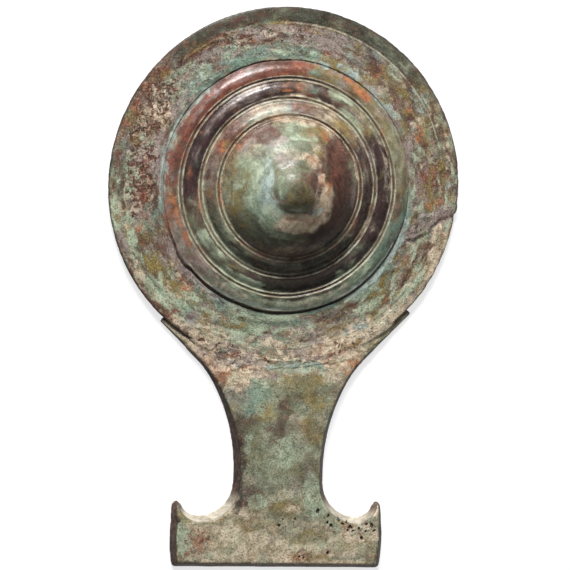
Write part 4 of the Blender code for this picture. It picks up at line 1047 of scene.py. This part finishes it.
# Each colour of the patina: its two tones, how rough it is, the size of its torn edges in mm, whether it
# streaks along the disc's rings, and how much of it lies everywhere on the plate, the handle and the backs
Pigment = namedtuple("Pigment", "bright deep rough size streaky plate handle back")
PIGMENTS = {
    "lilac": Pigment((158, 143, 136), (118, 103, 99), 0.4, 9.0, True, 0.2, 0.12, 0.3),
    "olive": Pigment((136, 118, 68), (92, 76, 44), 0.42, 9.0, True, 0.15, 0.3, 0.35),
    "grey_green": Pigment((118, 124, 102), (84, 90, 72), 0.4, 9.0, True, 0.05, 0.34, 0.45),
    "slate": Pigment((80, 82, 70), (46, 45, 38), 0.34, 6.5, True, 0.04, 0.0, 0.3),
    "umber": Pigment((94, 66, 55), (56, 38, 32), 0.36, 6.0, True, 0.22, 0.08, 0.4),
    "oxblood": Pigment((132, 76, 62), (82, 45, 40), 0.3, 6.0, True, 0.08, 0.0, 0.25),
    "aubergine": Pigment((64, 45, 47), (27, 19, 21), 0.26, 7.0, True, 0.0, 0.0, 0.25),
    "cream": Pigment((222, 204, 178), (182, 162, 134), 0.5, 6.0, False, 0.05, 0.26, 0.2),
    "mint": Pigment((180, 192, 166), (138, 154, 128), 0.42, 8.5, True, 0.17, 0.24, 0.4),
    "teal": Pigment((112, 138, 122), (80, 104, 92), 0.42, 6.0, True, 0.02, 0.0, 0.3),
    "orange": Pigment((176, 114, 76), (134, 80, 54), 0.44, 4.0, False, 0.0, 0.0, 0.12),
    "ice": Pigment((174, 188, 180), (142, 158, 150), 0.42, 4.0, True, 0.0, 0.0, 0.08),
    # pitch, with some slate and aubergine, also lays the painted shadow of the dome on the mouldings below
    # it
    "pitch": Pigment((46, 40, 34), (22, 19, 17), 0.32, 6.0, True, 0.0, 0.0, 0.1),
}
GLOSS = 0.3  # pigments no rougher than this keep the polish of the metal
CRUSTED, SMOOTH = 0.12, -0.08  # how far a dull pigment stands up, and a smoother one lies in
DISC_TEAR, HANDLE_TEAR = 19.0, 9.0  # how sharply the pigments are torn out of one another


def linear(level):
    """One channel of a colour, from 0 to 255, made linear for the shader."""
    return ((level / 255 + 0.055) / 1.055) ** 2.4 if level > 10 else level / 3294


def tone(red, green, blue):
    return (linear(red), linear(green), linear(blue), 1.0)


# The tones of what the ground and wear have darkened or bleached, and of the painted shade in the step's
# crevice and under the flake by the crack
FLAKED, DULLED, BLEACHED = tone(58, 42, 36), tone(58, 46, 40), tone(196, 190, 168)
NET, SPECK, SPARK = tone(58, 37, 33), tone(54, 44, 38), tone(200, 192, 166)
CREVICE_SHADE, CRACK_AND_SHADOW, EDGE, HOLE = tone(22, 22, 20), tone(40, 32, 30), tone(50, 44, 38), tone(34, 28, 24)


class Wire:
    """One socket of a material's node tree, on which sums can be written."""

    def __init__(self, tree, socket=None):
        self.tree, self.socket = tree, socket

    def node(self, kind, settings, sockets, output=0):
        """Any node: its type, its settings, then the values or wires of its sockets."""
        made = self.tree.nodes.new(kind)
        for name, value in settings.items():
            setattr(made, name, value)
        for name, value in sockets.items():
            if isinstance(value, Wire):
                value.feed(made.inputs[name])
            else:
                made.inputs[name].default_value = value
        return Wire(self.tree, made.outputs[output])

    def feed(self, socket):
        self.tree.links.new(self.socket, socket)

    def maths(self, operation, *values):
        return self.node("ShaderNodeMath", {"operation": operation}, dict(enumerate(values)))

    def vector(self, operation, *others, output=0):
        """Vector maths on this wire, with the others as its next values."""
        settings, values = {"operation": operation}, dict(enumerate((self, *others)))
        return self.node("ShaderNodeVectorMath", settings, values, output)

    def __add__(self, other):
        return self.maths("ADD", self, other)

    def __sub__(self, other):
        return self.maths("SUBTRACT", self, other)

    def __rsub__(self, other):
        return self.maths("SUBTRACT", other, self)

    def __mul__(self, other):
        return self.maths("MULTIPLY", self, other)

    def __truediv__(self, other):
        return self.maths("DIVIDE", self, other)

    def __rtruediv__(self, other):
        return self.maths("DIVIDE", other, self)

    __radd__ = __add__
    __rmul__ = __mul__

    def exponent(self):
        return self.maths("EXPONENT", self)

    def near_zero(self, width, soft):
        """1 where the wire crosses zero and 0 away from there, which draws its contour as a thin line."""
        return (width - self.maths("ABSOLUTE", self)).ramp(0.0, soft)

    def ramp(self, low, high):
        """0 at low, 1 at high, eased between."""
        settings = {"interpolation_type": "SMOOTHSTEP"}
        return self.node("ShaderNodeMapRange", settings, {0: self, 1: low, 2: high})

    def between(self, low, high):
        """The colour that runs from one tone to another as the wire goes from 0 to 1."""
        settings = {"data_type": "RGBA", "blend_type": "MIX"}
        return self.node("ShaderNodeMix", settings, {0: self, 6: low, 7: high}, 2)

    def stained(self, colour, mask):
        """This colour with another laid over it where the mask is."""
        return mask.between(self, colour)


class Skin:
    """What a patina is drawn with: places on the piece, noise at four sizes, covers and marks."""

    def __init__(self, tree, seed, ringed, tear):
        self.wire, self.seed, self.ringed, self.tear = Wire(tree), seed, ringed, tear
        self.place = self.wire.node("ShaderNodeTexCoord", {}, {}, "Object")
        self.along = self.round_the_rings() if ringed else self.place
        self.fine = self.lumps(0.9 * MM, 3.0, 3.1, 0.75)
        self.small = self.lumps(2.4 * MM, 6.0, 4.3, 0.72)
        self.blotch = self.lumps(9 * MM, 8.0, 5.7, 0.7, swirl=0.5)
        self.streak = self.lumps(4 * MM, 7.0, 9.3, 0.7, along=True, swirl=0.3)
        self.crust, self.calm = self.cover("crust"), self.cover("calm")
        self.add_marks()

    def round_the_rings(self):
        """Places stretched round the disc's rings, so that streaks lie along them."""
        flat = self.place.vector("SUBTRACT", tuple(DISC_PLACE)).vector("MULTIPLY", (1.0, 1.0, 0.0))
        x = flat.node("ShaderNodeSeparateXYZ", {}, {0: flat}, "X")
        y = flat.node("ShaderNodeSeparateXYZ", {}, {0: flat}, "Y")
        reach = flat.vector("LENGTH", output="Value")
        return flat.node("ShaderNodeCombineXYZ", {}, {0: x * 0.7, 1: y * 0.7, 2: reach * 1.4})

    def lumps(self, size, detail, shift, rough, along=False, swirl=0.0):
        """Noise about 0 with lumps of the size given, which may lie along the rings."""
        moved = (0.31 * self.seed + 0.017 * shift, 0.23 * shift, 0.11 * self.seed + 0.05 * shift)
        where = (self.along if along else self.place).vector("ADD", moved)
        sockets = {"Vector": where, "Scale": 1 / size, "Detail": detail, "Roughness": rough}
        return self.wire.node("ShaderNodeTexNoise", {}, {**sockets, "Distortion": swirl}) - 0.5

    def torn(self, pigment, shift):
        """The ragged field in which a pigment wins over the others, smoother where the skin is calm."""
        size, streaky = pigment.size * MM, pigment.streaky
        torn = self.lumps(size, 9.0, shift, 0.62, along=streaky, swirl=0.5)
        if not self.ringed:
            return torn
        return torn + (self.lumps(size, 6.0, shift, 0.58, along=streaky, swirl=0.9) - torn) * self.calm

    def cover(self, layer):
        """One of the covers that paint() has stored."""
        return self.wire.node("ShaderNodeAttribute", {"attribute_name": layer}, {}, "Fac")

    def add_marks(self):
        """The crust's pits and pale flecks, the dark specks all over, and where the lips are rubbed."""
        fine, crust, calm = self.fine, self.crust, self.calm
        holes = self.lumps(3.6 * MM, 5.0, 77.0, 0.6, swirl=0.6)
        self.pits = (crust * 1.2 + holes * 6.0 - 1.1).ramp(0.0, 0.3) * (1 - calm * (1 - crust))
        flecks = self.lumps(1.7 * MM, 4.0, 81.0, 0.6) * 4.2 + crust * 0.5 - 0.5
        self.flecks = flecks.ramp(0.0, 0.5) * crust
        specks = (self.small * 1.8 - fine * 3.8 - 0.26).ramp(0.0, 0.4)
        self.specks = specks * (0.75 - (0.4 if self.ringed else 0.0) * calm)
        self.worn_lip = self.cover("lip") * (0.9 + fine * 1.6 + self.streak * 2.6).ramp(0.3, 1.0)


def bare_skin(skin, tones):
    """The metal's own colour, in three tones."""
    dark, middle, light = (tone(*levels) for levels in tones)
    ground = skin.blotch * 2.2 + skin.small * 1.8 + skin.streak * 2.0
    return ground.ramp(-0.4, 0.0).between(dark, middle).stained(light, ground.ramp(0.05, 0.45))


def lay_pigments(skin, colour):
    """Lays every pigment over the metal. Returns the colour, and how rough, polished and high it is."""
    fine, blotch, streak, calm = skin.fine, skin.blotch, skin.streak, skin.calm
    total = ((blotch * 8 + streak * 6) * (1 - 0.75 * calm)).exponent() * 0.08 + 0.02
    rough = 0.42 + blotch * 0.25
    polish = calm * 0.0
    relief = blotch * 0.35 + streak * 0.25
    for number, (layer, pigment) in enumerate(PIGMENTS.items()):
        torn = skin.torn(pigment, 20.0 + 3 * number)
        choice = torn * skin.tear * (1 - 0.5 * calm) + skin.small * 7 * (1 - 0.6 * calm)
        if not skin.ringed:
            choice = choice + fine * 9
        here = skin.cover(layer)
        weight = here * here * 2.2 * choice.exponent()
        total = total + weight
        share = weight / total
        light = (torn * 2.4 + fine * 1.6 * (1 - 0.6 * calm) + streak * 1.8 + 0.5).ramp(0.1, 0.9)
        colour = colour.stained(light.between(tone(*pigment.deep), tone(*pigment.bright)), share)
        rough = rough + (pigment.rough - rough) * share
        polish = polish + (1 - polish) * share if pigment.rough <= GLOSS else polish * (1 - share)
        relief = relief + share * (CRUSTED if pigment.rough > 0.4 else SMOOTH)
    return colour, rough, polish, relief


def weather_colour(skin, colour):
    """A fine mottling, broken dark lines where one crust flakes off another, and dull and bright clouds."""
    fine, small, streak, calm = skin.fine, skin.small, skin.streak, skin.calm
    mottle = 1.0 + fine * ((1.1 if skin.ringed else 1.5) - 0.3 * calm) + small * (0.9 - 0.3 * calm)
    colour = skin.wire.node("ShaderNodeVectorMath", {"operation": "SCALE"}, {0: colour, "Scale": mottle})
    flaked = skin.lumps(7 * MM, 6.0, 91.0, 0.6, along=True, swirl=0.8).near_zero(0.022, 0.016)
    flaked = flaked * (skin.blotch + streak + small * 0.6).ramp(-0.05, 0.12)
    colour = colour.stained(FLAKED, flaked * (0.42 - 0.36 * calm + skin.crust * 0.4))
    cloud = skin.lumps(5 * MM, 7.0, 61.0, 0.66, swirl=0.6) * 1.3 + streak * 0.9
    cloud = cloud * (skin.tear / DISC_TEAR)
    colour = colour.stained(DULLED, cloud.ramp(0.1, 0.5) * 0.5)
    return colour.stained(BLEACHED, (0 - cloud).ramp(0.1, 0.5) * (0.42 - 0.34 * calm))


def pit_colour(skin, colour):
    """The pits, the dark net and the pale flecks of the crust, then specks and sparks all over."""
    fine, crust = skin.fine, skin.crust
    rust = (fine + skin.small).ramp(-0.1, 0.1).between(tone(112, 62, 48), tone(50, 34, 31))
    colour = colour.stained(rust, skin.pits * 0.92)
    net = skin.lumps(3.2 * MM, 4.0, 93.0, 0.55, swirl=0.9).near_zero(0.03, 0.02) * crust
    colour = colour.stained(NET, net * 0.75)
    pale = skin.blotch.ramp(-0.1, 0.1).between(tone(208, 188, 160), tone(196, 156, 130))
    colour = colour.stained(pale, skin.flecks * 0.6)
    colour = colour.stained(SPECK, skin.specks)
    sparks = (fine * 3.8 + skin.streak * 2.0 - 0.34).ramp(0.0, 0.45)
    return colour.stained(SPARK, sparks * (0.5 - 0.44 * skin.calm))


def soil_and_shade_colour(skin, colour):
    """Rubbed lips, earth in grooves, the bays' pale earth brightened as painted light, painted shade in the
    crevice and under the flake, and the dark of the crack, edges and holes.
    """
    fine, small, blotch = skin.fine, skin.small, skin.blotch
    rubbed = (blotch * 2 + skin.streak).ramp(-0.1, 0.1).between(tone(168, 150, 124), tone(200, 196, 172))
    colour = colour.stained(rubbed, skin.worn_lip * 0.8)
    earth = fine.ramp(-0.05, 0.12).between(tone(56, 46, 38), tone(98, 82, 62))
    colour = colour.stained(earth, skin.cover("groove") * 0.6)
    # painted shade: near black in the step's crevice, and dark under the flake's lower edge along the crack
    colour = colour.stained(CREVICE_SHADE, skin.cover("crevice") * 0.75)
    colour = colour.stained(CRACK_AND_SHADOW, skin.cover("crack") * 0.85)
    wall = (blotch * 4 + small * 5 + fine * 3 + 0.35).ramp(0.0, 1.0)
    colour = colour.stained(wall.between(tone(50, 39, 36), tone(132, 100, 88)), skin.cover("side") * 0.9)
    colour = colour.stained(EDGE, (skin.cover("edge") + small * 2.0 - 0.1).ramp(0.0, 1.0) * 0.75)
    # the bays' walls: pale earth, brightened as painted light where the lamp strikes them
    bay_earth_and_light_tone = (blotch * 3 + small * 2 + 0.5).between(tone(150, 140, 122), tone(206, 199, 182))
    colour = colour.stained(bay_earth_and_light_tone, skin.cover("bay_earth_and_light"))
    return colour.stained(HOLE, skin.cover("hole") * 0.9)


def patina(name, seed, ground_tones, ringed, tear):
    """The metal's own skin, and all that the ground has laid on it."""
    material = bpy.data.materials.new(name)
    material.use_nodes = True
    skin = Skin(material.node_tree, seed, ringed, tear)
    calm, pits = skin.calm, skin.pits
    colour, rough, polish, relief = lay_pigments(skin, bare_skin(skin, ground_tones))
    colour = soil_and_shade_colour(skin, pit_colour(skin, weather_colour(skin, colour)))
    relief = (relief + skin.fine * 0.2 + skin.small * 0.25) * (1 - 0.85 * calm)
    relief = relief + skin.worn_lip * 0.1 - pits * 0.7 - skin.specks * 0.2 + skin.flecks * 0.2
    rough = rough * (1 - 0.2 * calm) + skin.crust * 0.15 + pits * 0.15
    shader = material.node_tree.nodes["Principled BSDF"].inputs
    colour.feed(shader["Base Color"])
    rough.maths("MINIMUM", rough, 0.95).feed(shader["Roughness"])
    bump = skin.wire.node("ShaderNodeBump", {}, {"Strength": 1.0, "Distance": 0.4 * MM, "Height": relief})
    bump.feed(shader["Normal"])
    (polish * calm * 0.25).feed(shader["Coat Weight"])
    shader["Coat Roughness"].default_value = 0.28
    shader["Specular IOR Level"].default_value = 0.34
    return material


# ---------------------------------------------------------------- studio

WALLS, CEILING = 0.45, 0.18  # how bright the room is, to the sides and overhead
FLOOR_GAP = 0.02 * MM  # keeps the floor clear of the part's underside


def build_floor():
    """A bright, even ground that lights nothing and isn't mirrored in the part."""
    ground = {"size": 8.0, "location": (0.0, 0.0, -FLOOR_GAP)}
    piece = start_piece(bpy.ops.mesh.primitive_plane_add, "studio_floor", **ground)
    bpy.ops.object.mode_set(mode="OBJECT")
    pale = bpy.data.materials.new("pale floor")
    pale.use_nodes = True
    shader = pale.node_tree.nodes["Principled BSDF"].inputs
    shader["Base Color"].default_value = (0.4, 0.4, 0.4, 1.0)
    shader["Roughness"].default_value = 1.0
    shader["Specular IOR Level"].default_value = 0.0
    shader["Emission Color"].default_value = (1.0, 1.0, 1.0, 1.0)
    shader["Emission Strength"].default_value = 0.7
    piece.data.materials.append(pale)
    piece.visible_glossy = piece.visible_diffuse = False


def soft_light(name, power, size, place):
    """A softbox that faces the middle of the part."""
    light = bpy.data.lights.new(name, "AREA")
    light.energy = power
    light.shape = "RECTANGLE"
    light.size, light.size_y = size
    lamp = bpy.data.objects.new(name, light)
    bpy.context.scene.collection.objects.link(lamp)
    lamp.location = place
    lamp.rotation_euler = Vector(place).to_track_quat("Z", "Y").to_euler()
    return lamp


def build_studio():
    build_floor()
    # one lamp shapes the forms, a higher one gives the polish its sheen
    soft_light("top softbox", 500.0, (2.3, 0.8), (-0.72, 4.38, 2.24)).visible_glossy = False
    soft_light("sheen softbox", 290.0, (1.7, 0.8), (-0.6, 3.69, 3.25)).visible_diffuse = False
    # the room around it, dimmer overhead
    world = bpy.data.worlds.new("soft room")
    world.use_nodes = True
    room = Wire(world.node_tree)
    way = room.node("ShaderNodeTexCoord", {}, {}, "Generated")
    rise = room.node("ShaderNodeSeparateXYZ", {}, {0: way}, "Z").ramp(0.0, 0.1)
    background = world.node_tree.nodes["Background"].inputs
    background["Color"].default_value = (1.0, 1.0, 1.0, 1.0)
    (WALLS + (CEILING - WALLS) * rise).feed(background["Strength"])
    bpy.context.scene.world = world
    bpy.context.scene.view_settings.view_transform = "Standard"


# Where the camera is, against the disc's axis
VIEW_TURN, VIEW_RISE, VIEW_ROLL = math.radians(12.35), math.radians(6.09), math.radians(1.5)
VIEW_DISTANCE = 1706.9 * MM
VIEW_AIM = (-0.42 * MM, -56.0 * MM)  # where the view is centred, right of and above the disc's middle
LENS = 189.5


def build_camera():
    data = bpy.data.cameras.new("camera")
    data.lens = LENS
    data.clip_start, data.clip_end = 0.05, 20.0
    camera = bpy.data.objects.new("camera", data)
    bpy.context.scene.collection.objects.link(camera)
    turn = (
        DISC_TURN @ Matrix.Rotation(VIEW_ROLL, 3, "Z")
        @ Matrix.Rotation(-VIEW_TURN, 3, "Y") @ Matrix.Rotation(-VIEW_RISE, 3, "X")
    )
    place = DISC_PLACE + turn @ Vector((VIEW_AIM[0], VIEW_AIM[1], VIEW_DISTANCE))
    camera.matrix_world = Matrix.Translation(place) @ turn.to_4x4()
    bpy.context.scene.camera = camera


disc = build_disc()
handle = build_handle()
joint = build_joint_crust(disc, handle)
disc_tones = (84, 68, 58), (122, 112, 92), (160, 152, 126)
handle_tones = (88, 78, 60), (124, 116, 90), (158, 152, 122)
disc_finish = patina("disc patina", 1.0, disc_tones, True, DISC_TEAR)
handle_finish = patina("handle patina", 2.0, handle_tones, False, HANDLE_TEAR)
for piece, finish in ((disc, disc_finish), (handle, handle_finish), (joint, disc_finish)):
    piece.data.materials.clear()
    piece.data.materials.append(finish)
    paint(piece)
    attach(piece, "root")
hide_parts("disc")
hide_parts("handle")
build_studio()
build_camera()
